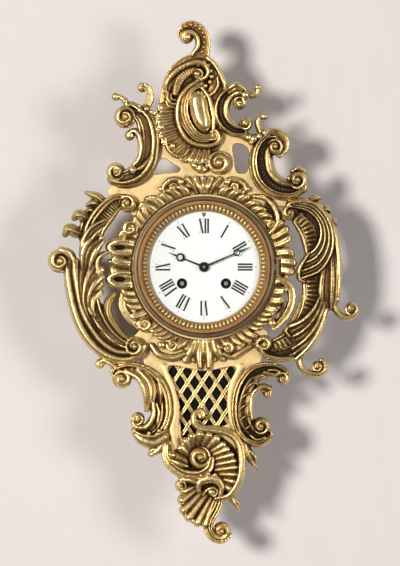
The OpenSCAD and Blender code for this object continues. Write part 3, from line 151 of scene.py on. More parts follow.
def curve(points, steps=8, closed=False):
    """Points of a smooth curve through given ones."""
    p = np.array(points, float)
    ends = [p[-1:], p, p[:2]] if closed else [2 * p[:1] - p[1:2], p, 2 * p[-1:] - p[-2:-1]]
    q = np.vstack(ends)
    t = np.linspace(0, 1, steps, endpoint=False)[:, None]
    parts = []
    for a, b, c, d in zip(q[:-3], q[1:-2], q[2:-1], q[3:]):
        parts.append(0.5 * (2 * b + (c - a) * t + (2 * a - 5 * b + 4 * c - d) * t ** 2
                            + (3 * b - a - 3 * c + d) * t ** 3))
    return np.vstack(parts if closed else parts + [p[-1:]])


def arch(x):
    """A round fall from 1 at 0 to 0 at 1."""
    return np.sqrt(np.clip(1 - x, 0, 1))


def moulding(base, ridges=(), hatch=None, edge=0.5):
    """A profile across a band: a base level, round ridges (place, half width, height) and cross flutes
    (from, to, depth, pitch), with its edges rolled down."""

    def profile(u, s):
        level = np.full(u.shape, base)
        if hatch:
            low, high, depth, pitch = hatch
            inside = np.clip(np.minimum(u - low, high - u) / 0.12, 0, 1)
            level = level - depth * inside * (0.5 + 0.5 * np.cos(2 * np.pi * s / pitch)) ** 2
        for place, half, top in ridges:
            k = np.clip(1 - ((u - place) / half) ** 2, 0, 1)
            level = np.where(k > 0, np.maximum(level, base + (top - base) * np.sqrt(k)), level)
        return level * (edge + (1 - edge) * arch(u ** 4))

    return profile


def ridge(u, s):
    """A round ridge."""
    return 0.4 + 0.6 * arch(u * u)


def veined(u, s):
    """A leaf with a raised midrib."""
    return 0.45 + 0.4 * arch(u ** 2) + 0.15 * np.exp(-(u / 0.16) ** 2)


def leafy(u, s):
    """A strand of a leaf, close to its neighbours."""
    return 0.68 + 0.32 * arch(u * u)


def rounded(u, s):
    """A roll that dies into the ground on both sides."""
    return arch(u * u)


def level_top(u, s):
    """A flat top with square edges."""
    return np.ones(u.shape)


PLAIN = moulding(0.9)
RIMMED = moulding(0.74, ((-0.8, 0.2, 1.0), (0.8, 0.2, 1.0)))
FRAME = moulding(0.84, ((-0.84, 0.18, 1.0), (-0.3, 0.16, 0.95), (0.24, 0.16, 0.95), (0.82, 0.2, 1.0)),
                 edge=0.75)
SHELL = moulding(0.85, ((-0.94, 0.36, 1.0), (0.0, 0.2, 0.9), (0.94, 0.36, 1.0)), edge=0.86)
TRIPLE = moulding(0.62, ((-0.8, 0.2, 0.95), (-0.3, 0.18, 0.85), (0.25, 0.18, 0.9), (0.78, 0.22, 1.0)))
SWEPT = moulding(0.7, ((-0.82, 0.17, 0.95), (-0.48, 0.12, 0.8), (0.36, 0.22, 1.0)), edge=0.4)
UPPER_COVE = moulding(0.52, ((-0.9, 0.1, 0.8), (-0.62, 0.24, 1.0), (0.55, 0.42, 0.84)),
                      (-0.38, -0.02, 0.05, 3.1))
LOWER_COVE = moulding(0.55, ((-0.92, 0.1, 0.74), (-0.66, 0.16, 1.0), (-0.4, 0.12, 0.88), (0.6, 0.38, 0.82)),
                      (-0.25, 0.2, 0.05, 3.4))
SIDE_COVE = moulding(0.66, ((-0.8, 0.22, 1.0), (-0.4, 0.16, 0.9), (0.86, 0.15, 0.9)), (-0.22, 0.7, 0.10, 2.9))
HOOK_COVE = moulding(0.52, ((-0.86, 0.14, 0.86), (-0.52, 0.18, 1.0), (0.75, 0.26, 0.9)))
FLUTED = moulding(0.88, ((-0.9, 0.12, 1.0), (0.9, 0.12, 1.0)), (-0.8, 0.8, 0.11, 4.6))
FINE_FLUTED = moulding(0.9, (), (-1.0, 1.0, 0.07, 2.4))


class Relief:
    """A height field over a window of the ground's face, in millimetres, built up stroke by stroke."""

    OUT = -2.0
    FAR = 1e9
    NARROW = 0.3
    SKIN = 0.2
    MELT = 0.35
    CHASED = 1.6
    MODELLED = 5.0
    BACK_WEAR = 0.36

    def __init__(self, left, low, right, high, step):
        self.step = step
        self.x = np.arange(left, right + step, step)
        self.y = np.arange(low, high + step, step)
        shape = (len(self.y), len(self.x))
        self.height = np.full(shape, -1.0)
        self.inside = np.full(shape, self.OUT)

    def window(self, left, low, right, high):
        """A part of the field, with the places of its points."""
        c = np.searchsorted(self.x, [left, right])
        r = np.searchsorted(self.y, [low, high])
        area = (slice(r[0], r[1]), slice(c[0], c[1]))
        return area, *np.meshgrid(self.x[area[1]], self.y[area[0]])

    def lay(self, area, inside, height):
        """Adds a form: how far points lie inside its outline, and its height there."""
        self.inside[area] = np.maximum(self.inside[area], np.maximum(inside, self.OUT))
        self.height[area] = np.where(inside > 0, np.maximum(self.height[area], height), self.height[area])

    def band(self, points, profile=ridge, steps=8):
        """A band along points (x, y, half width, height), shaped across by a profile."""
        path = curve(points, steps)
        path[:, 2:] = np.maximum(path[:, 2:], self.NARROW)
        reach = path[:, 2].max() - self.OUT
        whole, wx, _ = self.window(path[:, 0].min() - reach, path[:, 1].min() - reach,
                                   path[:, 0].max() + reach, path[:, 1].max() + reach)
        near = np.full(wx.shape, self.FAR)
        side, along, half, top = (np.zeros(wx.shape) for _ in range(4))
        run = 0.0
        for a, b in zip(path[:-1], path[1:]):
            step = b[:2] - a[:2]
            length = math.hypot(*step)
            if length < 1e-6:
                continue
            area, x, y = self.window(min(a[0], b[0]) - reach, min(a[1], b[1]) - reach,
                                     max(a[0], b[0]) + reach, max(a[1], b[1]) + reach)
            area = tuple(slice(q.start - w.start, q.stop - w.start) for q, w in zip(area, whole))
            k = np.clip(((x - a[0]) * step[0] + (y - a[1]) * step[1]) / length ** 2, 0, 1)
            dx, dy = x - a[0] - k * step[0], y - a[1] - k * step[1]
            gap = np.hypot(dx, dy)
            closer = gap < near[area]
            near[area] = np.where(closer, gap, near[area])
            side[area] = np.where(closer, np.sign(step[0] * dy - step[1] * dx), side[area])
            along[area] = np.where(closer, run + k * length, along[area])
            half[area] = np.where(closer, a[2] + k * (b[2] - a[2]), half[area])
            top[area] = np.where(closer, a[3] + k * (b[3] - a[3]), top[area])
            run += length
        half = np.maximum(half, self.NARROW)
        u = np.clip(side * near / half, -1, 1)
        self.lay(whole, half - near, top * profile(u, along))

    def strands(self, first, last, count, top, profile=leafy):
        """Strands of a leaf, spread between two guide curves and as wide as the guides leave room for."""
        first, last = np.array(first, float), np.array(last, float)
        at = np.linspace(0, 1, len(first))
        room = np.hypot(*(last - first).T) / max(count - 1, 1)
        half = np.maximum(0.66 * room, 1.3) * np.interp(at, [0, 0.25, 0.75, 1], [0.8, 1, 1, 0.65])
        rise = top * np.interp(at, [0, 0.4, 0.8, 1], [0.8, 1, 0.96, 0.74])
        for i in range(count):
            middle = first + (last - first) * i / max(count - 1, 1)
            self.band(np.column_stack([middle, half, rise * (1 - 0.12 * (i % 2))]), profile)

    def ruffle(self, inner, outer, count, low, high, profile):
        """A frill of lobes that run from an inner guide curve to an outer one."""
        ends = []
        for guide in (inner, outer):
            path = curve(guide)
            ends.append(path[np.linspace(0, len(path) - 1, count).round().astype(int)])
        near, far = (0.58 * np.hypot(*np.gradient(path, axis=0).T) for path in ends)
        for a, b, narrow, wide in zip(*ends, near, far):
            halfway = (*(0.5 * (a + b)), 0.5 * (narrow + wide), 0.5 * (low + high))
            self.band([(*a, narrow, low), halfway, (*b, 0.9 * wide, high)], profile)

    def dome(self, points, top, low=0.4):
        """A rounded boss inside a smooth outline."""
        area, inside = self.outline(points)
        k = np.clip(inside / (0.75 * inside.max()), 0, 1)
        rise = self.soften(np.sqrt(1 - (1 - k) ** 2), 1.2)
        self.lay(area, inside, top * (low + (1 - low) * rise))

    def volute(self, x, y, r, top, turns=1.6, turn=1, start=90.0):
        """A scroll end: a ridge winding in to a button, from an angle at its rim."""
        area, gx, gy = self.window(x - r + self.OUT, y - r + self.OUT, x + r - self.OUT, y + r - self.OUT)
        rho = np.hypot(gx - x, gy - y)
        theta = np.arctan2(gy - y, gx - x) - math.radians(start)
        phase = (1 - rho / r) * turns - turn * theta / (2 * np.pi)
        rise = 0.6 + 0.34 * np.abs(np.cos(np.pi * phase)) ** 0.7 + 0.1 * (1 - rho / r)
        eye = 0.34 * r
        button = 0.66 + 0.42 * arch((rho / eye) ** 2)
        rise = np.where(rho < eye, button, rise)
        rise = rise * (0.5 + 0.5 * arch((rho / r) ** 6))
        self.lay(area, r - rho, top * rise)

    def fan(self, near, far, first, last, count, twist, low=3.4, high=7.4, scallop=0.16, taper=0.14):
        """A leaf of round lobes beside the dial, between two radii and two angles."""
        reach = far - self.OUT
        area, gx, gy = self.window(-reach, -reach, reach, reach)
        rho = np.hypot(gx, gy)
        k = np.clip((rho - near) / (far - near), 0, 1.2)
        theta = np.degrees(np.arctan2(gy, gx)) + twist * k * k
        q = ((theta - first) % 360) / (last - first)
        v = 2 * ((q * count) % 1) - 1
        rim = far - (far - near) * (scallop * v ** 2 + taper * (2 * q - 1) ** 2)
        crest = arch(v ** 2) * (1 - 0.16 * np.exp(-(v / 0.2) ** 2))
        level = low + (high - low) * np.sin(np.clip(k, 0, 1) * 2.1) ** 0.8
        level = level * (0.6 + 0.4 * crest)
        inside = np.minimum(rim - rho, rho - near + 1.5)
        inside = np.where(q <= 1, inside, self.OUT)
        self.lay(area, inside, level * (0.62 + 0.38 * np.sqrt(np.clip(inside / 2.2, 0, 1))))

    def boss(self, x, y, r, top):
        """A round knob."""
        area, gx, gy = self.window(x - r + self.OUT, y - r + self.OUT, x + r - self.OUT, y + r - self.OUT)
        rho = np.hypot(gx - x, gy - y)
        self.lay(area, r - rho, top - 0.75 * r * (1 - arch((rho / r) ** 2)))

    def beads(self, points, r, pitch, top):
        """Knobs at even steps along a curve."""
        path = curve(points)
        run = np.concatenate([[0], np.cumsum(np.hypot(*np.diff(path, axis=0).T))])
        for at in np.linspace(0, run[-1], max(int(round(run[-1] / pitch)) + 1, 2)):
            self.boss(np.interp(at, run, path[:, 0]), np.interp(at, run, path[:, 1]), r, top)

    def pad(self, points, top, steps=6):
        """A flat area inside a smooth outline, with its edge rolled down."""
        area, inside = self.outline(points, steps)
        self.lay(area, inside, top * (0.6 + 0.4 * np.sqrt(np.clip(inside / 3, 0, 1))))

    def outline(self, points, steps=6):
        """The window of a smooth outline and how far each of its points lies inside."""
        path = curve(points, steps, closed=True)
        area, gx, gy = self.window(path[:, 0].min() + self.OUT, path[:, 1].min() + self.OUT,
                                   path[:, 0].max() - self.OUT, path[:, 1].max() - self.OUT)
        near = np.full(gx.shape, self.FAR)
        odd = np.zeros(gx.shape, bool)
        for a, b in zip(path, np.roll(path, -1, axis=0)):
            step = b - a
            k = np.clip(((gx - a[0]) * step[0] + (gy - a[1]) * step[1]) / max(step @ step, 1e-9), 0, 1)
            near = np.minimum(near, np.hypot(gx - a[0] - k * step[0], gy - a[1] - k * step[1]))
            if a[1] != b[1]:
                odd ^= ((a[1] > gy) != (b[1] > gy)) & (gx < a[0] + (gy - a[1]) * step[0] / step[1])
        return area, np.where(odd, near, -near)

    def pierce(self, points, steps=6):
        """An opening inside a smooth outline."""
        area, inside = self.outline(points, steps)
        self.inside[area] = np.minimum(self.inside[area], -inside)

    def disc(self, r, top):
        """A flat disc around the dial's centre."""
        rho = np.hypot(*np.meshgrid(self.x, self.y))
        self.lay((slice(None), slice(None)), r - rho, np.full(rho.shape, top))

    def clear(self, r):
        """Cuts away what lies inside a radius around the dial's centre."""
        self.inside = np.minimum(self.inside, np.hypot(*np.meshgrid(self.x, self.y)) - r)

    def dent(self, x, y, long, wide, lean, depth):
        """A soft oval hollow pressed into what is there."""
        area, gx, gy = self.window(x - long, y - long, x + long, y + long)
        c, s = math.cos(math.radians(lean)), math.sin(math.radians(lean))
        a, b = ((gx - x) * c + (gy - y) * s) / long, ((gy - y) * c - (gx - x) * s) / wide
        self.height[area] -= depth * np.clip(1 - a * a - b * b, 0, 1)

    def soften(self, field, radius):
        """A blurred copy of a field."""
        n = max(int(3 * radius / self.step), 1)
        weights = np.exp(-0.5 * (np.arange(-n, n + 1) * self.step / radius) ** 2)
        weights /= weights.sum()
        for axis in (0, 1):
            wide = np.pad(field, [(n, n) if i == axis else (0, 0) for i in range(2)], mode="edge")
            size = field.shape[axis]
            field = sum(w * np.take(wide, range(i, i + size), axis) for i, w in enumerate(weights))
        return field

    def wear(self, around=0.0):
        """How far each point stands proud of its surroundings, from 0 in the hollows to 1 on the ridges: the
        finishes paint patina and shade low on it, rubbed gold and highlight high.
        """
        field = np.where(self.inside > 0, self.height, around)
        chased = (field - self.soften(field, self.CHASED)) / 1.3
        modelled = (field - self.soften(field, self.MODELLED)) / 4.5
        return np.clip(0.52 + 0.5 * (0.55 * chased + 0.75 * modelled), 0, 1)

    def build(self, name, back=0.0, base=FACE, around=0.0):
        """A closed mesh of the relief, with its wear and painted light as an attribute."""
        bare = self.height < 0
        spread = self.height.copy()
        for axis in (0, 1):
            for shift in (1, -1):
                spread = np.where(bare, np.maximum(spread, np.roll(spread, shift, axis)), spread)
        wear = self.wear(around)
        top = self.soften(np.where(spread < 0, around, spread), self.MELT)
        f = self.inside
        cells = (f[:-1, :-1] + f[1:, :-1] + f[:-1, 1:] + f[1:, 1:]) > 0
        around_count = np.zeros(f.shape, int)
        for r in (0, 1):
            for c in (0, 1):
                around_count[r:r + cells.shape[0], c:c + cells.shape[1]] += cells
        used = around_count > 0
        rim = used & (around_count < 4)
        gy, gx = np.gradient(f, self.step)
        size = np.maximum(gx ** 2 + gy ** 2, 0.2)
        limit = 0.7 * self.step
        px, py = np.meshgrid(self.x, self.y)
        px = np.where(rim, px + np.clip(-f * gx / size, -limit, limit), px)
        py = np.where(rim, py + np.clip(-f * gy / size, -limit, limit), py)
        index = np.full(f.shape, -1)
        index[used] = np.arange(used.sum())
        count = int(used.sum())
        front = to_frame(px[used], py[used], base + np.maximum(top[used], back + self.SKIN))
        rear = to_frame(px[used], py[used], base + back)
        a, b = index[:-1, :-1][cells], index[:-1, 1:][cells]
        c, d = index[1:, 1:][cells], index[1:, :-1][cells]
        faces = [np.column_stack([a, b, c, d]), np.column_stack([d, c, b, a]) + count]
        closed = np.pad(cells, 1)
        for beside, p, q in ((closed[:-2, 1:-1], a, b), (closed[2:, 1:-1], c, d),
                             (closed[1:-1, :-2], d, a), (closed[1:-1, 2:], b, c)):
            open_side = ~beside[cells]
            p, q = p[open_side], q[open_side]
            faces.append(np.column_stack([q, p, p + count, q + count]))
        return plain_mesh(name, np.vstack([front, rear]), np.vstack(faces),
                          np.concatenate([wear[used], np.full(count, self.BACK_WEAR)]))


def add_object(name, data):
    """A new object in the scene."""
    thing = bpy.data.objects.new(name, data)
    bpy.context.scene.collection.objects.link(thing)
    return thing


def plain_mesh(name, points, quads, wear=None):
    """A new object from points and four sided faces, smooth, with an optional attribute for wear and painted
    light.
    """
    mesh = bpy.data.meshes.new(name)
    mesh.vertices.add(len(points))
    mesh.vertices.foreach_set("co", np.ascontiguousarray(points, dtype=np.float32).ravel())
    mesh.loops.add(quads.size)
    mesh.loops.foreach_set("vertex_index", np.ascontiguousarray(quads, dtype=np.int32).ravel())
    mesh.polygons.add(len(quads))
    mesh.polygons.foreach_set("loop_start", np.arange(0, quads.size, quads.shape[1], dtype=np.int32))
    if wear is not None:
        # The attribute paints patina and shade in the hollows, and rubbed gold and highlight on the ridges
        layer = mesh.attributes.new("wear", "FLOAT", "POINT")
        layer.data.foreach_set("value", np.ascontiguousarray(wear, dtype=np.float32))
    mesh.update(calc_edges=True)
    mesh.validate()
    mesh.shade_smooth()
    return add_object(name, mesh)


def dress(thing, material, body, slot, *nodes):
    """Gives a finished piece its material, its body and the solids that it stands for."""
    thing.data.materials.clear()
    thing.data.materials.append(material)
    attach(thing, body)
    if nodes:
        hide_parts(*nodes)
    return thing


# Shader maths

class Sock:
    """A socket that can be used in sums."""

    def __init__(self, tree, link):
        self.tree = tree
        self.link = link

    def sum(self, operation, a, b):
        """Adds a Math node for two values."""
        return Sock(self.tree, self.tree.add("ShaderNodeMath", {"operation": operation},
                                             {0: a, 1: b}).outputs[0])

    def __add__(self, other):
        return self.sum("ADD", self, other)

    __radd__ = __add__

    def __mul__(self, other):
        return self.sum("MULTIPLY", self, other)

    __rmul__ = __mul__

    def __sub__(self, other):
        return self.sum("SUBTRACT", self, other)

    def __rsub__(self, other):
        return self.sum("SUBTRACT", other, self)

    def __pow__(self, other):
        return self.sum("POWER", self, other)

    def above(self, other):
        """The larger of two values."""
        return self.sum("MAXIMUM", self, other)


class Finish:
    """A new material and the nodes added to it."""

    def __init__(self, name):
        self.material = bpy.data.materials.new(name)
        self.material.use_nodes = True
        self.nodes = self.material.node_tree.nodes
        self.links = self.material.node_tree.links
        self.shader = self.nodes["Principled BSDF"]
        self.place = self.get("ShaderNodeTexCoord", "Object")

    def add(self, kind, settings, sockets):
        """Adds a node: its settings first, then the values or links of its sockets."""
        node = self.nodes.new(kind)
        for key, value in settings.items():
            if key == "stops":
                ramp = node.color_ramp.elements
                while len(ramp) < len(value):
                    ramp.new(0.5)
                for stop, (at, colour) in zip(ramp, value):
                    stop.position = at
                    stop.color = (*colour, 1)
            else:
                setattr(node, key, value)
        for key, value in sockets.items():
            if isinstance(value, Sock):
                self.links.new(value.link, node.inputs[key])
            else:
                node.inputs[key].default_value = value
        return node

    def get(self, kind, output, settings=None, sockets=None):
        """Adds a node and gives one of its outputs."""
        return Sock(self, self.add(kind, settings or {}, sockets or {}).outputs[output])

    def noise(self, scale, detail=3.0):
        return self.get("ShaderNodeTexNoise", "Fac", {}, {"Vector": self.place, "Scale": scale,
                                                          "Detail": detail})

    def wear(self):
        """How far the piece is rubbed and how much painted light it gets, from its own attribute: patina and
        painted shade low, rubbed gold and painted highlight high.
        """
        return self.get("ShaderNodeAttribute", "Fac", {"attribute_name": "wear"})

    def along(self, axis):
        """A coordinate in the frame, in metres."""
        return self.get("ShaderNodeSeparateXYZ", axis, {}, {"Vector": self.place})

    def span(self, value, low, high):
        """A value stretched to give 0 at one end and 1 at the other."""
        return self.get("ShaderNodeMapRange", "Result", {}, {"Value": value, "From Min": low,
                                                             "From Max": high})

    def ramp(self, value, *stops):
        return self.get("ShaderNodeValToRGB", "Color", {"stops": stops}, {"Fac": value})

    def mix(self, factor, a, b, blend="MIX"):
        node = self.add("ShaderNodeMix", {"data_type": "RGBA", "blend_type": blend}, {0: factor})
        for key, value in ((6, a), (7, b)):
            if isinstance(value, Sock):
                self.links.new(value.link, node.inputs[key])
            else:
                node.inputs[key].default_value = (*value, 1)
        return Sock(self, node.outputs[2])

    def bump(self, height, strength, distance):
        sockets = {"Height": height, "Strength": strength, "Distance": distance}
        return self.get("ShaderNodeBump", "Normal", {}, sockets)

    def rubbed(self, rough, cloud):
        """Roughness and relief of metal with fine rubbing marks."""
        marks = self.noise(700, 2)
        return {"Roughness": rough + (marks - 0.5) * 0.15 + (0.5 - cloud) * 0.15,
                "Normal": self.bump(marks, 0.05, 0.0002)}

    def blend(self, factor, first, second):
        """Mixes two shaders into the material's surface."""
        mixed = self.add("ShaderNodeMixShader", {}, {0: factor})
        self.links.new(first.outputs[0], mixed.inputs[1])
        self.links.new(second.outputs[0], mixed.inputs[2])
        self.links.new(mixed.outputs[0], self.nodes["Material Output"].inputs["Surface"])
        return self.material

    def set(self, **values):
        """Sets or links the shader's sockets."""
        for key, value in values.items():
            socket = self.shader.inputs[key.replace("_", " ")]
            if isinstance(value, Sock):
                self.links.new(value.link, socket)
            else:
                socket.default_value = value
        return self.material


def shade(colour, k):
    """A colour made lighter or darker."""
    return tuple(min(c * k, 1) for c in colour)


def gilt_finish(name, patina, copper, gold, bright, rough=0.34, grain=0.6, hollow_shade=0.03):
    """Gilt bronze: patina and painted shade in the hollows, painted shade a little on the right, gold on the
    slopes, bright ridges that are partly burnish and partly painted highlight.
    """
    f = Finish(name)
    wear = f.wear()
    cloud = f.noise(60, 4)
    speck = f.noise(320, 3)
    fine = f.noise(900, 2)
    # Painted shade: the level drops towards the right of the clock, so the gilding reads darker there
    right_side_shade = f.span(f.along("X"), 0.0, 0.05)
    level = wear + (cloud - 0.5) * 0.26 + (speck - 0.5) * 0.36 + (fine - 0.5) * 0.14 - 0.09 * right_side_shade
    # hollow_shade moves the dark stops up, painting more of the hollows as shade; the bright stops paint a
    # highlight on the ridges
    colour = f.ramp(level, (0.10 + hollow_shade, patina), (0.33 + hollow_shade, copper), (0.52 + 0.4 * hollow_shade, gold),
                    (0.70, shade(bright, 0.72)), (0.92, bright))
    body = f.span(level, 0.15, 0.45)
    return f.set(Base_Color=colour, Metallic=0.45 + 0.55 * body, Specular_IOR_Level=0.2,
                 Roughness=rough + 0.22 - 0.26 * wear + (cloud - 0.5) * 0.14 + (speck - 0.5) * 0.2,
                 Normal=f.bump(speck + 0.3 * fine, grain, 0.0006))


def matt_finish(name, patina, copper, matt):
    """Matt gilding with a fine punched grain, darker beside its raised bands and lighter at its edges: patina
    and painted shade low, rubbed gilding and painted highlight high.
    """
    f = Finish(name)
    wear = f.wear()
    cloud = f.noise(45, 5)
    grain = f.noise(1600, 1)
    speck = f.noise(210, 3)
    level = wear + (cloud - 0.5) * 0.5 + (speck - 0.5) * 0.4
    colour = f.ramp(level, (0.05, patina), (0.28, shade(copper, 1.7)), (0.46, matt), (0.7, shade(matt, 1.25)))
    return f.set(Base_Color=colour, Metallic=0.75, Roughness=0.52 + (cloud - 0.5) * 0.16,
                 Normal=f.bump(grain + cloud, 0.25, 0.0003))


def metal_finish(name, colour, rough, tarnish=0.35, metallic=1.0, scale=55):
    """Plain metal with clouded tarnish and fine rubbing marks."""
    f = Finish(name)
    cloud = f.noise(scale, 5)
    body = f.mix(cloud, shade(colour, 1 - tarnish), shade(colour, 1 + 0.5 * tarnish))
    return f.set(Base_Color=body, Metallic=metallic, **f.rubbed(rough, cloud))


def ring_finish(name, stops, rough):
    """Gilding whose colour changes with the distance from the dial's centre, used to paint rings of light and
    shade: stops are (millimetres, colour).
    """
    f = Finish(name)
    x = f.along("X") - DIAL_CENTRE.x
    z = f.along("Z") - DIAL_CENTRE.z
    first, last = stops[0][0], stops[-1][0]
    reach = f.span((x * x + z * z) ** 0.5, first * MM, last * MM)
    colour = f.ramp(reach, *[((at - first) / (last - first), tone) for at, tone in stops])
    cloud = f.noise(70, 5)
    worn = f.mix(cloud, (0.6, 0.6, 0.6), (1.3, 1.3, 1.3))
    return f.set(Base_Color=f.mix(1.0, colour, worn, "MULTIPLY"), Metallic=0.7, **f.rubbed(rough, cloud))


def enamel_finish(colour):
    """Glossy white enamel with the faintest clouding."""
    f = Finish("enamel")
    cloud = f.noise(30, 4)
    white = f.mix(cloud, shade(colour, 0.97), shade(colour, 1.02))
    return f.set(Base_Color=white, Roughness=0.16 + cloud * 0.06, Normal=f.bump(cloud, 0.03, 0.0005))


def ink_finish(colour):
    """Fired black, very slightly uneven."""
    f = Finish("dial_black")
    cloud = f.noise(400, 3)
    black = f.mix(cloud, shade(colour, 0.7), shade(colour, 1.6))
    return f.set(Base_Color=black, Roughness=0.3 + cloud * 0.1)


def cloth_finish():
    """Near black silk with a fine plain weave, dark enough to paint the shade behind the lattice too."""
    f = Finish("silk")
    threads = []
    for axis in ("X", "Z"):
        sockets = {"Vector": f.place, "Scale": 900.0}
        threads.append(f.get("ShaderNodeTexWave", "Fac", {"bands_direction": axis}, sockets))
    weave = threads[0].above(threads[1])
    # Kept near black: the silk's colour also paints the shade seen through the lattice
    dark = f.mix(weave, (0.003, 0.0025, 0.002), (0.011, 0.009, 0.008))
    return f.set(Base_Color=dark, Roughness=0.8 + weave * 0.1, Specular_IOR_Level=0.15,
                 Normal=f.bump(weave, 0.3, 0.0002))


def glass_finish():
    """Clear domed glass: mostly see through, with a soft reflection at a slant."""
    f = Finish("clock_glass")
    clear = f.add("ShaderNodeBsdfTransparent", {}, {"Color": (0.99, 0.995, 0.99, 1)})
    gloss = f.add("ShaderNodeBsdfGlossy", {}, {"Color": (1, 1, 1, 1), "Roughness": 0.05})
    edge = f.get("ShaderNodeFresnel", "Fac", {}, {"IOR": 1.35})
    smear = f.noise(25, 3)
    return f.blend(edge * (0.5 + 0.3 * smear), clear, gloss)


def winding_finish():
    """Steel painted nearly black as the shade down the winding holes, with plain bright steel on the worn end
    of the winding square.
    """
    f = Finish("winding_steel")
    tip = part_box("going_arbor")[0].y
    worn = f.span(f.along("Y"), tip + 0.0012, tip + 0.0004)
    cloud = f.noise(500, 3)
    # Painted shade: nearly black steel back from the tip, plain steel on the end of the square
    steel = f.mix(worn, (0.012, 0.011, 0.010), (0.48, 0.46, 0.43))
    return f.set(Base_Color=steel, Metallic=0.5 + 0.4 * worn,
                 Roughness=0.55 - 0.25 * worn + (cloud - 0.5) * 0.1)


def bezel_finish(copper, gold, rim):
    """The bezel's gilding in rings: painted highlight on the lip at the sight edge and on a line, copper
    bands between, the one behind the eggs as painted shade in their recess, and a dull rim darkening to its
    edge as painted shade.
    """
    stops = [(SIGHT_R, shade(gold, 1.2)), (SIGHT_R + 1.8, shade(gold, 1.4)),
             (SIGHT_R + 2.3, shade(copper, 1.1)), (SIGHT_R + 9.2, shade(copper, 1.5)),
             (SIGHT_R + 9.6, shade(gold, 1.4)), (SIGHT_R + 10.3, shade(gold, 1.4)),
             (SIGHT_R + 10.8, shade(copper, 1.1)), (BEZEL_R - 3.4, shade(copper, 1.2)),
             (BEZEL_R - 2.8, shade(rim, 1.3)), (BEZEL_R, shade(rim, 0.8))]
    return ring_finish("bezel_gilt_painted_light", stops, 0.5)


_finishes = {}


def finish(name):
    """The clock's finishes, each made once."""
    if name not in _finishes:
        c = bpy.context.scene.clock_castings
        d = bpy.context.scene.clock_dial
        patina, copper, gold, bright = (tuple(tone) for tone in (c.patina, c.copper, c.gold, c.bright))
        makers = {
            "gilt": lambda: gilt_finish("gilt_bronze", patina, copper, gold, bright),
            # A darker copy of the gilding as painted shade, for the crest scrolls, the side branches and the
            # right apron scroll
            "shaded": lambda: gilt_finish("shaded_gilt_bronze", patina, shade(copper, 0.7), shade(gold, 0.56),
                                          shade(bright, 0.9), hollow_shade=0.12),
            "burnished": lambda: gilt_finish("burnished_gilt", shade(patina, 5), copper, shade(gold, 1.2),
                                             bright, rough=0.27, grain=0.03),
            "matt": lambda: matt_finish("matt_gilt", patina, copper, tuple(c.matt)),
            "bezel": lambda: bezel_finish(copper, gold, tuple(c.bezel)),
            "egg": lambda: metal_finish("egg_gilt", shade(gold, 2.3), 0.32, 0.25, 0.7, 260),
            # The darts are a lighter gilt than the eggs: painted highlight on the raised darts
            "dart": lambda: metal_finish("dart_gilt", shade(bright, 1.1), 0.42, 0.25, 0.5, 260),
            "brass": lambda: metal_finish("satin_brass", (0.62, 0.45, 0.19), 0.34),
            "steel": lambda: metal_finish("polished_steel", (0.52, 0.52, 0.53), 0.28),
            "winding": winding_finish,
            "blued": lambda: metal_finish("blued_steel", (0.02, 0.022, 0.034), 0.3, 0.4, 0.8),
            "bell": lambda: metal_finish("bell_metal", (0.60, 0.46, 0.25), 0.2),
            "enamel": lambda: enamel_finish(tuple(d.enamel)),
            "ink": lambda: ink_finish(tuple(d.ink)),
            "silk": cloth_finish,
            "glass": glass_finish,
        }
        _finishes[name] = makers[name]()
    return _finishes[name]


def casting(window):
    """A bare field for a casting, on the ornament's grid."""
    return Relief(*window, bpy.context.scene.clock_castings.grid / MM)


# Crest

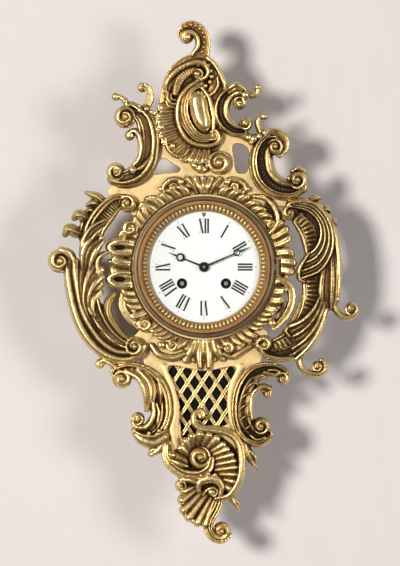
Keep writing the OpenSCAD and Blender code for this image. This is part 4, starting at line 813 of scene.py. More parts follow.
def crest_shell():
    """The cartouche over the dial: finial, frame of the cabochon and fluted shell."""
    r = casting((-60, 90, 30, 252))
    r.pad([(-12, 213), (-26, 205), (-37, 192), (-41, 177), (-45, 160), (-45, 142), (-41, 128), (-30, 114),
           (-14, 106), (4, 106), (14, 118), (17, 132), (14, 150), (15, 168), (21, 182), (16, 195), (8, 206),
           (0, 212)], 4.5)
    r.band([(-4, 204, 8, 9), (-1, 216, 7, 10), (0, 226, 6.4, 10), (-3, 235, 6.2, 10), (-11, 240.5, 6, 10),
            (-19, 238.5, 5.6, 10), (-22, 233, 4.6, 9)], moulding(0.62, ((-0.84, 0.16, 0.92),)))
    r.volute(-17.5, 230.5, 7, 10.5, 0.82, -1, 180)
    r.band([(-12, 212, 2.2, 10), (-6.5, 220, 2.8, 11.5), (-6.5, 228, 3, 12), (-11, 233.5, 3.2, 12.5),
            (-17.5, 234, 3.4, 12.5), (-21, 230, 3, 12), (-19, 226.5, 2.6, 11.5), (-15.5, 228, 2.6, 11.5)])
    r.boss(-16.5, 229.5, 3.4, 13)
    r.beads([(-22, 238), (-16, 241), (-10, 241.5), (-4, 238), (-0.6, 231), (0, 224), (-2, 215)], 1.5, 5, 9.2)
    r.band([(-4, 211, 4, 9), (-18, 205.5, 5.2, 9.5), (-29, 196, 5.8, 9.5), (-36, 183.5, 5.2, 9),
            (-40, 170, 3.8, 8.5), (-43.5, 158, 2.6, 8), (-48, 153.5, 2.2, 7), (-53.5, 154.5, 2, 6)],
           moulding(0.72, ((-0.82, 0.18, 0.95), (0.1, 0.14, 0.8))))
    r.boss(-53.5, 155.2, 2.6, 6.5)
    r.band([(-38.5, 174, 2, 9), (-38, 182, 2.4, 11), (-33.5, 190, 2.8, 12), (-25, 197.5, 3, 12.5),
            (-14, 203, 3, 13), (-5, 204.5, 3, 13), (1.5, 201, 3, 13), (4, 194.5, 2.8, 13),
            (1, 189, 2.4, 12.5), (-4, 187, 2.2, 12)])
    r.volute(-6, 192.5, 6.2, 11.5, 0.88, -1, 20)
    r.boss(-8, 193, 2.4, 13)
    r.band([(-9, 197, 4.5, 8.5), (-19, 193, 5, 8.6), (-25.5, 185, 4.8, 8.6), (-28.5, 174, 3.8, 8.2)],
           FINE_FLUTED)
    r.band([(-36, 175, 1.6, 10), (-36.5, 168, 2.2, 11), (-32, 163, 2.2, 11), (-26.5, 163.5, 1.6, 9.5)])
    r.band([(-33, 173, 1.4, 10), (-32.5, 168, 1.8, 10.5), (-28, 166.5, 1.4, 9.5)])
    r.band([(-38.5, 166, 1.6, 9), (-35, 160.5, 2, 10), (-29.5, 159.5, 1.6, 9)])
    r.band([(1, 207, 4, 7), (7, 200, 5, 7.4), (11, 191, 5.4, 7.4), (10, 182, 5, 7.4), (7, 176, 4, 7)], PLAIN)
    r.beads([(-5.5, 202.5), (1, 204.5), (5.3, 199), (7.6, 192.5), (6.8, 186), (1.5, 181)], 2.4, 5.6, 10.5)
    r.band([(3, 209, 2.6, 9), (10, 203, 2.8, 9.5), (16, 193, 3, 9.5), (20, 184, 2.8, 9), (21, 177, 2, 8)])
    r.band([(13, 190, 1.6, 9), (14, 182, 2.2, 9.5), (10, 175, 2.2, 9.5), (5, 171, 1.6, 9)])
    r.ruffle([(-29, 159), (-30, 146), (-27, 134), (-19, 123.5), (-8, 117.5), (3, 116)],
             [(-42, 159), (-45, 143), (-41, 129), (-30, 115), (-14, 107), (2, 107)], 12, 7, 9.6, SHELL)
    r.volute(-42.5, 140.5, 4.2, 9.8, 0.82, 1, 90)
    r.band([(-38, 128, 1.8, 9.5), (-36.5, 119, 2.2, 10.5), (-30, 112, 2.4, 11), (-21.5, 111, 2.2, 11),
            (-15, 117.5, 1.6, 10)])
    r.boss(-31.5, 121, 3.3, 11)
    r.band([(-3, 183, 3.4, 8.8), (-13, 178.5, 4.6, 9.2), (-19.5, 167, 5.2, 9.4), (-20.5, 154, 5.4, 9.4),
            (-16.5, 142, 5.4, 9.4), (-8.5, 132, 5.2, 9.4), (1, 128.5, 4.4, 9.2), (9, 131.5, 3, 9)], FRAME)
    r.band([(8.6, 134, 2.6, 9.6), (9.4, 146, 3.2, 10), (7.6, 158, 3.2, 10), (4.8, 169, 3, 9.8),
            (-2, 179, 2.6, 9.4)])
    r.band([(-5, 187, 2.2, 9.5), (-16, 179.5, 2.6, 11), (-24.5, 168, 2.8, 11.5), (-27, 155, 2.8, 11.5),
            (-25.5, 143, 2.8, 11.5), (-20, 131, 2.8, 11.5), (-11, 123.5, 2.8, 11.5), (1, 121, 2.8, 11.5),
            (11, 123, 2.6, 11.5), (15.5, 129.5, 2.4, 11.5), (12, 136, 2.2, 11), (6.5, 135, 1.8, 10.5)])
    r.volute(9.5, 130.5, 4.6, 11.8, 0.9, 1, -60)
    r.volute(15, 104.5, 12, 10.5, 1.5, 1, 150)
    r.boss(-3, 99.5, 6, 7.5)
    r.beads([(-9, 101), (-3, 104), (3, 101)], 2.4, 6, 9)
    r.band([(-13, 108, 2.4, 8), (-11, 101, 2.2, 8), (-6, 97, 2, 7)])
    r.band([(3, 103, 2.2, 8), (2, 98, 2, 7.5), (-2, 95.5, 1.8, 6.5)])
    return r


def crest_cabochon():
    """The polished kidney shaped boss of the cartouche."""
    r = casting((-22, 128, 14, 186))
    r.dome([(-7, 175.5), (-13, 172), (-15, 165), (-13.5, 157), (-12, 150), (-9, 142.5), (-4.2, 136.8),
            (1.2, 135.4), (5.6, 138.6), (6, 148), (4.4, 156), (3.4, 163), (1.6, 170), (-2, 175)], 15.5, 0.62)
    return r


def crest_scroll_left():
    """The left scroll of the crest with its two twigs."""
    r = casting((-112, 70, -38, 192))
    r.band([(-73, 160, 6, 9.5), (-60, 149, 9.5, 12), (-55, 132, 11, 12.5), (-55, 117, 11, 12.5),
            (-58, 104, 11, 12.5), (-67, 93, 10.5, 12.5), (-80, 87.5, 9, 12), (-91, 88, 6, 11)], SWEPT)
    r.volute(-79, 150, 11, 12.5, 1.29, 1, 60)
    r.volute(-88, 95, 9.5, 13, 1.15, -1, -90)
    r.boss(-88, 95.5, 3, 13.6)
    r.boss(-74.5, 131.5, 5, 10.5)
    r.band([(-75.5, 133, 3, 10.5), (-70, 136, 3.2, 11.5), (-65, 131, 3.4, 12.5), (-63, 120, 3.2, 13),
            (-65, 108, 3, 12.5), (-71, 101, 2.6, 11)])
    r.boss(-71, 97, 4.2, 13.5)
    r.band([(-50, 119, 1.5, 13), (-53.5, 109, 3.4, 14), (-60.5, 101, 3.8, 14.5), (-70, 96, 2.2, 13.5)],
           veined)
    r.band([(-76, 159, 3.2, 9), (-79, 166, 3, 8.5), (-83, 169.5, 2.8, 8), (-89, 171.5, 2.6, 7.5)])
    r.boss(-88.5, 170.5, 3.8, 8.5)
    r.boss(-79, 166, 3.2, 9)
    r.band([(-72, 160, 3.6, 9), (-63, 158, 3.8, 10), (-56, 163, 3.8, 10), (-54, 172, 3.8, 9.5),
            (-57, 179.5, 3.6, 9), (-62.5, 181.5, 3.2, 8.5)], RIMMED)
    r.volute(-62, 179.5, 4.6, 9, 0.8, 1, 60)
    r.boss(-64, 156.5, 3.2, 11)
    r.boss(-57.5, 158, 3, 10.5)
    return r


def crest_scroll_right():
    """The two right scrolls of the crest with their twigs."""
    r = casting((2, 62, 112, 190))
    r.band([(40, 174, 4.5, 9), (29, 176, 6.2, 10.5), (20, 168, 8, 11.5), (17, 157, 9, 12), (20, 146, 8.6, 12),
            (29, 138, 7.6, 11.5), (39, 136, 5.5, 10)], UPPER_COVE)
    r.strands([(22, 176), (32, 182), (43, 176)], [(27, 171), (35, 174), (44, 170)], 3, 11.5)
    r.volute(36, 164.5, 7, 11, 0.88, -1, 110)
    r.volute(42, 143, 6.6, 11, 0.95, 1, -90)
    r.boss(41, 172, 4, 11)
    r.band([(42, 175, 2.8, 8), (48, 171.5, 2.8, 8), (52.5, 173.5, 2.8, 8), (54, 179, 3, 8)])
    r.boss(53.5, 180, 3.6, 8.5)
    r.band([(68, 130, 8, 11.5), (59, 119, 10.5, 12.5), (57, 105, 12.5, 13), (61, 90, 13, 13),
            (72, 80, 12, 13), (86, 77, 10, 12.5), (97, 80, 7, 11.5)], LOWER_COVE)
    r.band([(60, 131, 4, 10), (70, 134, 5, 11), (79, 129, 5, 11.5), (81, 120, 4.4, 11.5), (76, 112, 3, 11)],
           RIMMED)
    r.volute(71, 120, 8.6, 13, 1.16, -1, 60)
    r.volute(93.5, 87, 10, 13, 1.09, 1, -90)
    r.band([(100, 96, 2.4, 10), (94, 98.5, 2.6, 10.5), (88, 96, 2, 10)])
    r.band([(59, 131, 3.2, 8.5), (54, 141, 3, 8.5), (54.5, 149, 3, 8), (60, 151.5, 2.8, 7.5)])
    r.boss(60.5, 150.5, 3.2, 8.5)
    r.band([(38, 132, 3.6, 8.5), (48, 128.5, 4.6, 9), (60, 130, 4.2, 9)])
    for x, y, size in ((44, 129.5, 3.4), (50, 128, 3.8), (55.5, 130.5, 3.6), (61, 134, 3.4),
                       (47, 124.5, 2.6)):
        r.boss(x, y, size, 11)
    return r


# Side branches

def side_branch_left():
    """The left branch: an upper and a lower scroll with acanthus and buds."""
    r = casting((-162, -102, -48, 86))
    r.band([(-78, 66, 7, 11.5), (-89, 64, 9, 12.5), (-99, 54, 11, 13), (-108, 41, 11, 13), (-113, 27, 10, 13),
            (-116, 12, 9, 12.5), (-119, -4, 5, 10)], SIDE_COVE)
    r.volute(-77, 63.5, 9, 13.5, 1.16, -1, 100)
    r.strands([(-122, -2), (-121, 14), (-115, 26), (-102, 33)],
              [(-115, -4), (-112, 8), (-107, 18), (-100, 26)], 3, 13.5)
    r.strands([(-123, 10), (-121, 26), (-112, 40), (-100, 47)],
              [(-117, 14), (-113, 26), (-106, 35), (-100, 40)], 3, 13)
    r.band([(-112, -2, 4, 11), (-112, 8, 4.6, 11.5), (-108, 17, 3.8, 11)], FLUTED)
    r.band([(-106, -10, 3, 10), (-107, 4, 3.4, 11), (-102, 12, 3, 11), (-95, 15, 1.4, 9)])
    r.band([(-99, 63, 4, 9), (-107, 70, 4.8, 9.5), (-118, 74.5, 1.8, 6.5)], veined)
    r.band([(-101, 60, 4, 8.5), (-110, 64, 4.6, 9), (-117, 62, 2, 6.5)], veined)
    r.band([(-106, 54, 4, 8), (-113, 57, 4, 8.5), (-118, 55, 2, 6)], veined)
    r.band([(-111, 46, 4, 8.5), (-119, 50, 5.8, 9.5), (-126, 52, 5.6, 9), (-130, 49, 3, 7)], veined)
    r.band([(-118, 32, 4, 8.5), (-128, 35, 6, 9.5), (-135, 37.5, 6, 9), (-139, 33, 3.4, 7)], veined)
    r.band([(-121, 44, 3, 7.5), (-123, 34, 3, 7.5), (-121, 24, 3, 7.5)])
    r.band([(-134, 4, 6, 9.6), (-129, -13, 8.5, 10), (-122, -33, 12.5, 10.6), (-112, -51, 17.5, 10.6),
            (-99, -68, 17, 10.6), (-84, -79, 13, 10.6), (-70, -82, 9, 10)], PLAIN)
    r.volute(-144, 6, 12, 12, 1.36, 1, 20)
    r.band([(-143, 17.5, 3, 10.5), (-134, 14, 3.6, 11), (-130, 4, 3.4, 11), (-131, -4, 3, 10.5)])
    r.band([(-137, 1, 4, 9.5), (-134.5, -20, 4.6, 10.5), (-128.5, -46, 5, 11), (-119, -67, 5.2, 11.5),
            (-105.5, -82.5, 5.2, 11.5), (-90.5, -90.5, 5, 11.5), (-76, -92, 4.6, 11.5), (-63.5, -87, 4, 11.5),
            (-59, -79, 3.4, 11.5)])
    r.band([(-129.5, 3, 2.8, 11), (-127.5, -20, 3.4, 12.5), (-122, -43, 3.6, 13), (-113, -61, 3.6, 13),
            (-101.5, -75.5, 3.6, 13), (-88, -84, 3.4, 13), (-76, -85.5, 3, 13)])
    r.band([(-115, -33, 4, 10.5), (-109, -49, 5.4, 12), (-100, -64, 5.6, 12), (-88, -75, 5.2, 12),
            (-77, -79.5, 4, 11.5)], FINE_FLUTED)
    r.band([(-117, -37, 2, 11.5), (-113, -46, 2.8, 12.4), (-110.5, -50.5, 2, 11), (-104.5, -60, 2.9, 12.4),
            (-100.5, -64.5, 2, 11), (-93, -72.5, 2.8, 12.2), (-88, -76, 2, 11), (-79, -80, 2.4, 12)])
    r.band([(-107, -30, 2, 11), (-103, -45, 2.2, 11.6), (-95, -60, 2.2, 11.6), (-84, -71.5, 2.2, 11.6),
            (-75, -76.5, 2, 11.5)])
    r.band([(-89, -27, 1.8, 10.5), (-95, -34, 4.4, 13), (-96.5, -46, 4.8, 13), (-90.5, -58, 4.6, 13),
            (-82, -68, 3.6, 12.5), (-74, -73.5, 2, 11.5)], veined)
    r.volute(-69.5, -79.5, 10.2, 14.5, 1.16, 1, 180)
    r.strands([(-129, 5), (-128, -10), (-126, -26), (-122.5, -42), (-114, -59)],
              [(-104, -3), (-111, -10), (-116.5, -20), (-118.5, -36), (-111, -56)], 4, 13.5)
    r.strands([(-103, -10), (-108, -15), (-113, -23), (-115.5, -36), (-109, -54)],
              [(-104.5, -25), (-108, -28), (-111, -34), (-111, -43), (-106, -55)], 3, 12.8)
    r.clear(BRANCH_R)
    return r


def side_branch_right():
    """The right branch: fluted channel under long acanthus strands, and two tendrils."""
    r = casting((46, -118, 166, 82))
    r.band([(88, 61, 7, 8.5), (101, 61, 8, 9), (113, 51, 10, 9), (120, 35, 12.5, 9), (122, 17, 13, 9),
            (121, -3, 13, 9), (123, -23, 11, 9), (127, -38, 5, 8)], PLAIN)
    r.volute(85.5, 54.5, 8, 13.5, 0.95, 1, 90)
    r.band([(80.5, 59, 2.2, 11), (87, 64, 2.8, 12), (95, 65.5, 2.8, 12)])
    r.band([(92, 51, 4.4, 10), (102, 42, 6.4, 11), (107, 30, 6.4, 11), (107.5, 19, 4.6, 10)], FLUTED)
    r.band([(90, 45.5, 2, 9), (97, 34, 2.4, 9.5), (101, 22, 2.4, 9.5), (103, 12, 2, 9)])
    r.strands([(88, 60), (102, 57), (112, 49), (116.5, 39), (116, 27), (110.5, 17), (102, 11)],
              [(92, 66), (110, 63), (123, 49), (128.5, 30), (126, 12), (115, -4), (95, -12)], 7, 13.5)
    r.band([(105, 14, 1.8, 12.5), (99.5, 6, 2.6, 13.5), (95, -3, 2.8, 13.5), (95.5, -12, 2.2, 12.5),
            (101, -15, 1.6, 11.5)])
    r.strands([(121, 6), (118, -12), (117, -28), (120, -45)],
              [(131, 18), (133.5, -6), (133, -26), (130, -41)], 4, 12.5)
    r.band([(96, 67, 3, 9.5), (114, 61, 3.4, 10.5), (127, 43, 3.6, 11), (132.5, 22, 3.6, 11),
            (134.5, -3, 3.6, 11), (133, -33, 3, 10)])
    r.band([(104, 64, 3, 8.5), (111, 68.5, 4, 9), (116, 69, 2, 7)], veined)
    r.band([(116, 55, 3, 8.5), (122, 58, 4, 9), (126, 56, 2.4, 7)], veined)
    r.band([(124, 42, 3, 8.5), (129, 46, 3.6, 9), (131, 42, 2.4, 7)], veined)
    r.band([(112, -8, 8, 9), (106, -30, 9, 9), (102, -50, 12, 9), (91, -68, 12.5, 9), (77, -80, 10.5, 9),
            (63, -83, 8.5, 9)], PLAIN)
    r.band([(107, -12, 6, 10.5), (108, -28, 6.4, 11), (104, -43, 5.4, 10.5)], FLUTED)
    r.band([(94, -68, 6, 11), (82, -76, 6.2, 11.5), (68, -81, 4.4, 11)], FLUTED)
    r.strands([(118, -24), (109.5, -42), (98, -54), (82, -61)],
              [(123, -42), (114, -65), (103.5, -81), (92, -92)], 7, 13)
    r.band([(84, -60, 1.6, 12), (81.5, -64, 2.4, 13), (86, -70, 2.2, 12.5)])
    r.band([(121, -34, 3, 10), (119, -52, 3.4, 10.5), (111, -71, 3.4, 10.5), (98, -88, 2.8, 10)])
    r.band([(89, -91, 2.6, 11), (74, -91.5, 3.2, 12), (61, -87.5, 3.2, 12.5), (54.5, -79, 3, 12.5)])
    r.volute(60, -77.5, 9.5, 14, 1.02, -1, 180)
    r.band([(100, -15, 2, 8.5), (100, -33, 2.2, 9), (94, -51, 2.2, 9), (82, -66, 2.2, 9), (69, -74, 2, 9)])
    r.band([(128, -36, 3.4, 8.5), (133.5, -45, 3.4, 8.5), (140, -50.5, 3.4, 8.5), (148, -49.5, 3, 8.5),
            (153, -44, 2.6, 8)])
    r.volute(148, -42, 7, 9, 1.09, 1, -90)
    r.band([(98, -84, 3.4, 9), (95.5, -93, 3.4, 9), (98, -101, 3.4, 9), (106, -106.5, 3.4, 9),
            (115, -107, 3.2, 9), (121, -102, 3, 9), (120, -95, 2.6, 8.5)])
    r.volute(113.5, -99.5, 5.6, 9.5, 0.82, 1, -90)
    r.beads([(117, -93), (121, -97), (121, -103)], 1.8, 4, 9.5)
    r.clear(BRANCH_R)
    return r


# Dial surround

def dial_surround():
    """The rocaille ring around the bezel: lobed leaves, small scrolls, a palmette above and a leaf below."""
    r = casting((-104, -106, 98, 100))
    n = SURROUND_R
    r.disc(n + 8, 2.2)
    r.pad([(74, -16), (85, -18), (90, -27), (88, -37), (85, -45), (80, -53), (73, -60), (69, -57), (73, -46),
           (75, -32)], 3)
    r.pad([(60, 64), (66, 62), (71, 56), (71, 50), (66, 49), (61, 56)], 3)
    for first, last, far, count, twist in (
            (58, 80, 13, 3, 5), (100, 121, 14, 3, -5), (121, 136, 19, 2, -5), (136, 150, 15, 3, 4),
            (152, 172, 21, 3, -4), (174, 197, 22, 3, 4), (198, 214, 15, 3, 6), (214, 232, 18, 3, 4),
            (232, 250, 13, 4, 6), (250, 266, 14, 2, 4), (274, 290, 13, 2, -4), (290, 306, 17, 3, -5),
            (306, 324, 13, 4, -6), (324, 345, 15, 3, -4), (-5, 14, 20, 3, 2), (14, 32, 21, 3, -2),
            (33, 58, 13, 4, 6)):
        r.fan(n, n + far, first, last, count, twist)
    r.strands([(-2.6, n + 1), (-5, n + 8), (-8.4, n + 15.5)],
              [(2.6, n + 1), (4, n + 8), (6.6, n + 15.5)], 3, 9)
    r.band([(-7, n + 1, 2, 4.5), (-11, n + 9, 3.4, 7.5), (-17, n + 15.5, 3.2, 7)], veined)
    r.band([(6, n + 1, 2, 4.5), (10, n + 9, 3.2, 7), (15.5, n + 15, 3, 6.5)], veined)
    for side in (-1, 1):
        r.band([(side * 21, n + 6, 2, 6), (side * 25, n + 14, 2.8, 8), (side * 34, n + 14, 3, 8),
                (side * 41, n + 7, 2.6, 7.5), (side * 39, n, 1.8, 6)])
        r.volute(side * 31, n + 7, 4.6, 8, 0.9, -side, 90)
        r.boss(side * 23, n + 12, 3.2, 8.5)
        r.boss(side * 43, n + 5, 2.8, 8)
    # Left side
    r.volute(-74, 38.5, 8.6, 8, 1.2, 1, 60)
    r.band([(-78, 31, 2.4, 6.5), (-84, 26, 3.4, 7.8), (-91, 22, 2.4, 7)])
    for y in (19, -13):
        r.band([(-75, y + 7, 2.8, 6), (-86, y + 7, 3.8, 8), (-95, y + 1, 3.6, 7.5), (-88, y - 5.5, 3.6, 7.8),
                (-76, y - 6, 2.8, 6)])
        r.dent(-84.5, y + 0.6, 6.5, 2.6, 0, 6)
    r.band([(-76, 2, 3, 6), (-86, 3, 4, 7.4), (-95, 6, 2, 6)], veined)
    r.band([(-80, -24, 3, 6.5), (-82, -38, 3.6, 8), (-76, -50, 3.6, 8), (-66, -59, 3, 7.5)], RIMMED)
    r.volute(-59, -57, 7.6, 9, 1.15, 1, 180)
    # Right side
    r.band([(50, 71, 2.4, 6), (62, 68.5, 3.2, 6.8), (71.5, 57, 3.4, 7), (73.5, 43, 3.2, 7),
            (66, 34, 2.6, 6.6)])
    r.volute(66, 43, 6, 6.8, 1.0, -1, 90)
    r.band([(53, 61, 3, 6), (60, 56, 3.4, 6.8), (63, 49, 2.4, 6)], veined)
    r.band([(68, -16, 2.6, 6), (78, -13, 3.4, 6.8), (87, -22, 3.6, 7), (87.5, -36, 3.6, 7),
            (81, -50, 3.4, 7), (70, -61, 2.8, 6.6)], RIMMED)
    r.pierce([(80, -23), (83, -27), (83, -34), (81.5, -40), (79.5, -34), (79, -28)])
    r.boss(68, -56, 4.4, 8)
    # Below
    r.strands([(-9, -n - 1), (-13, -n - 11), (-18, -n - 20)],
              [(9, -n - 1), (13, -n - 11), (18, -n - 18)], 5, 7.5)
    for side in (-1, 1):
        r.band([(3 * side, -n - 1, 2.4, 6), (5 * side, -n - 14, 4.4, 8.5), (4.4 * side, -n - 27, 2.6, 8)])
    r.band([(-53, -n - 5, 2.8, 7), (-46, -n - 14, 3.6, 8.5), (-32, -n - 18, 3.8, 8.5), (-20, -n - 14, 3, 8)])
    r.volute(-32, -n - 5, 6.4, 8.5, 1.0, 1, -90)
    r.boss(-43, -n - 5, 3.8, 8.5)
    r.volute(24, -n - 8, 6.8, 8.5, 1.0, -1, 90)
    r.band([(20, -n - 14, 2.6, 7.5), (28, -n - 17, 3, 7.8), (38, -n - 11, 2.8, 7.5), (47, -n - 6, 2, 6.5)])
    r.clear(n)
    # Room for the bezel's hinge
    notch = r.window(0, -NOTCH_HALF, NOTCH_X, NOTCH_HALF)[0]
    r.inside[notch] = r.OUT
    return r


# Apron and base

def apron_scroll_left():
    """The left scroll under the dial, with a leaf and a cup."""
    r = casting((-114, -196, -30, -88))
    r.band([(-87, -105, 7, 9), (-74, -102.5, 8, 10), (-58, -108.5, 9.5, 11), (-47, -121.5, 10.5, 11.5),
            (-43, -138, 11, 12), (-44, -153, 10, 12), (-51, -164, 8, 11.5), (-62, -166, 5, 10)],
           moulding(0.62, ((0.86, 0.14, 0.86), (0.52, 0.16, 1.0), (0.1, 0.13, 0.8), (-0.8, 0.18, 1.0))))
    r.volute(-82, -112, 9.5, 11.5, 1.09, -1, 90)
    r.volute(-66, -152, 6.8, 12.5, 0.95, 1, -90)
    r.band([(-71.5, -155, 2.2, 11), (-67, -160, 3, 12), (-57, -159, 3.4, 12.5), (-50.5, -148, 3.4, 12.5),
            (-51, -135, 2.8, 12)])
    r.strands([(-78, -104), (-65, -112), (-59.5, -126), (-58.5, -144)],
              [(-60, -102), (-51, -116), (-49.5, -130), (-55.5, -144)], 4, 12.5)
    r.band([(-46, -110, 2, 11.5), (-43.5, -124, 4, 13.5), (-43.5, -137, 1.8, 12)], veined)
    r.band([(-47.5, -136, 1.4, 11), (-45, -146, 2.2, 12.4), (-47, -156, 2, 12)])
    r.band([(-69, -166, 3.6, 9.5), (-62, -172, 6.2, 11), (-50, -175.5, 6.4, 11), (-39, -170, 4.4, 10)])
    r.band([(-71, -163, 2, 10.5), (-61, -168, 2.4, 12), (-49, -169, 2.4, 12), (-40, -164, 2, 11)])
    r.beads([(-55, -166), (-45, -163.5)], 2.4, 10, 12.5)
    r.band([(-40, -175, 3, 8.5), (-46, -183, 3.8, 9), (-53, -188, 2.4, 7)])
    r.band([(-46, -182, 2, 8.5), (-52, -183, 2.4, 8), (-55, -187, 1.8, 7)])
    r.band([(-86, -102, 3.4, 8), (-93, -97, 3.2, 8), (-100, -93.5, 3, 7.5), (-106, -95, 2.6, 7)])
    r.volute(-104, -97, 4.6, 8, 0.8, 1, 90)
    return r


def apron_scroll_right():
    """The right scroll under the dial, with a hook and a tail leaf."""
    r = casting((20, -206, 92, -90))
    r.band([(81, -106, 5, 9), (68, -101.5, 6.4, 10), (52, -105.5, 8.4, 11), (42, -118, 9.8, 11.5),
            (37.5, -133, 10, 12), (37.5, -151, 10, 12), (43, -165, 9.5, 11.5), (54, -171, 8, 11),
            (64, -167, 5, 10)], HOOK_COVE)
    r.strands([(62, -104), (46, -113), (38.5, -127), (35.5, -143), (38, -158), (48, -170)],
              [(64, -108.5), (51, -114.5), (45, -125), (42.5, -138), (43.5, -152), (50, -163)], 3, 9.6)
    for x, y, size in ((53, -108, 1.1), (45.5, -115.5, 1.25), (40.5, -126, 1.25), (39, -137, 1.15),
                       (39.5, -148, 1.1), (43, -158.5, 1)):
        r.band([(x - 3 * size, y - 6 * size, 1.8 * size, 9.5), (x, y - 2 * size, 3.1 * size, 11.2),
                (x + 4.5 * size, y, 2 * size, 11), (x + 7 * size, y - 2 * size, 1.1 * size, 9.5)], veined)
    r.band([(46, -168, 1.6, 10.5), (53, -172.5, 2, 11.5), (61, -170, 1.6, 10.5)])
    r.band([(64, -103, 1.4, 10.5), (71, -103, 1.8, 11), (79, -106, 1.4, 10.5)])
    r.volute(79, -111, 6.6, 11.5, 0.88, -1, 90)
    r.volute(57, -159, 9, 13, 1.22, 1, -90)
    r.band([(46, -134, 2.6, 10.5), (50, -125, 3.2, 11.5), (59, -119.5, 3.2, 11.5), (66, -121.5, 3, 11)])
    r.volute(63.5, -126, 5, 11, 0.82, -1, 60)
    r.band([(48, -152, 2.4, 11), (46.5, -143, 2.6, 11.5), (47, -133, 2.2, 11)])
    r.band([(60, -105, 2, 11), (70, -107.5, 2.2, 11.5), (78, -106, 2, 11)])
    r.band([(36, -166, 2.4, 10), (44, -174.5, 3, 11), (56, -178, 2.6, 10.5), (66, -172, 2, 10)])
    r.band([(41, -174, 4, 9), (44, -186, 4.2, 9.5), (48, -195, 3, 8), (53, -201, 1.4, 6)], veined)
    r.band([(46, -184, 2.4, 8.5), (51, -190, 2.2, 8), (52, -196, 1.2, 6.5)])
    return r


def base_shell():
    """The foot of the case: a frilled shell around a spiral, a shield with a boss, flutes and the tail."""
    r = casting((-46, -282, 48, -134))
    r.pad([(-22, -180), (-10, -171), (6, -168), (20, -172), (32, -184), (37, -202), (33, -218), (24, -231),
           (12, -236), (0, -234), (-12, -227), (-24, -213), (-35, -200), (-38, -188), (-30, -183)], 4.5)
    r.band([(-4, -143, 2.4, 9), (-9.5, -147, 3, 9.5), (-10, -155, 3.2, 10), (-3, -161, 3.6, 10.5),
            (10, -162.5, 3.8, 11), (24, -165.5, 4, 11.5), (33, -173, 4.2, 12), (37, -186, 4.2, 12),
            (37.5, -201, 4.2, 12), (34, -216, 4.2, 12), (25, -228.5, 4, 11.5), (12, -232, 3, 10)],
           moulding(0.8, ((-0.3, 0.7, 1.0), (0.8, 0.2, 0.9))))
    r.volute(-3, -147.5, 5.4, 10, 0.9, -1, 90)
    r.ruffle([(-15, -188), (-13, -180), (-5, -176), (4, -179), (9, -186), (10, -194), (12, -202), (15, -209),
              (17, -215)],
             [(-23, -181), (-15, -171), (-2, -167.5), (11, -171), (21, -180), (28, -189), (30.5, -199),
              (30, -210), (25, -221)], 14, 7.5, 11, leafy)
    r.band([(-38, -179, 3, 8.5), (-38, -190, 4.4, 10), (-31, -200, 5.4, 11), (-19, -207, 5.8, 11.5),
            (-5, -207.5, 5.2, 12), (5, -201, 4.4, 12.5), (7.5, -192, 3.4, 13)],
           moulding(0.84, ((-0.75, 0.25, 0.95), (0.55, 0.4, 1.0))))
    r.volute(-4, -190, 11.5, 14.5, 1.25, -1, -30)
    r.band([(-32, -193, 2.2, 11.5), (-24.5, -196.5, 3.6, 13), (-16.5, -199, 2, 12)])
    r.pad([(-37, -184), (-27, -185), (-16, -191), (-16, -199), (-27, -199), (-35, -193)], 8.6)
    r.boss(-30.5, -188, 2.4, 11.5)
    r.band([(-6, -224, 2.6, 10), (-4.5, -215.5, 4.4, 11.5), (3.5, -211.5, 5, 12), (12, -212.5, 5, 12),
            (17.5, -220, 4, 11.5), (15.5, -229.5, 2.4, 10.5)], leafy)
    r.boss(7.6, -225, 4.2, 11.6)
    r.band([(-1, -228, 1.6, 11), (3, -222.5, 1.9, 12.2), (9, -220.5, 2.1, 12.8), (13, -224, 1.9, 12.6),
            (11, -228.5, 1.7, 12), (7, -227.5, 1.4, 11.5)])
    r.beads([(-3, -208.5), (4, -206.5), (11, -207.5)], 2.2, 7, 12)
    r.volute(-23, -218.5, 6.2, 11, 0.9, 1, 0)
    r.band([(-23, -212.5, 2.6, 10.5), (-13, -213, 3.6, 11.5), (-4, -217, 3.2, 11)])
    r.ruffle([(-9, -219.5), (-5, -222.5), (0, -226.5), (6, -230), (10, -231.5)],
             [(-20, -224), (-22, -236), (-18, -247), (-9, -254.5), (1, -257)], 6, 7.5, 11.5, ridge)
    r.beads([(-19.5, -247), (-14, -252), (-6, -256.5)], 2.4, 6, 9.5)
    r.band([(16, -229, 5, 10.5), (11.5, -241, 5.6, 11), (6, -252, 5, 11), (4, -261, 4.6, 11),
            (8.5, -269.5, 4.4, 11), (17, -272.5, 4.2, 11), (24.5, -268, 3.6, 10.5)], TRIPLE)
    r.volute(17.5, -264, 9, 11.5, 1.1, 1, -90)
    r.band([(23, -228, 3, 9), (30, -235, 3.2, 8.5), (34, -243, 1.6, 6.5)], veined)
    r.band([(28, -231, 2, 8.5), (34, -236, 1.8, 7.5)])
    return r


# Ground plate and lattice

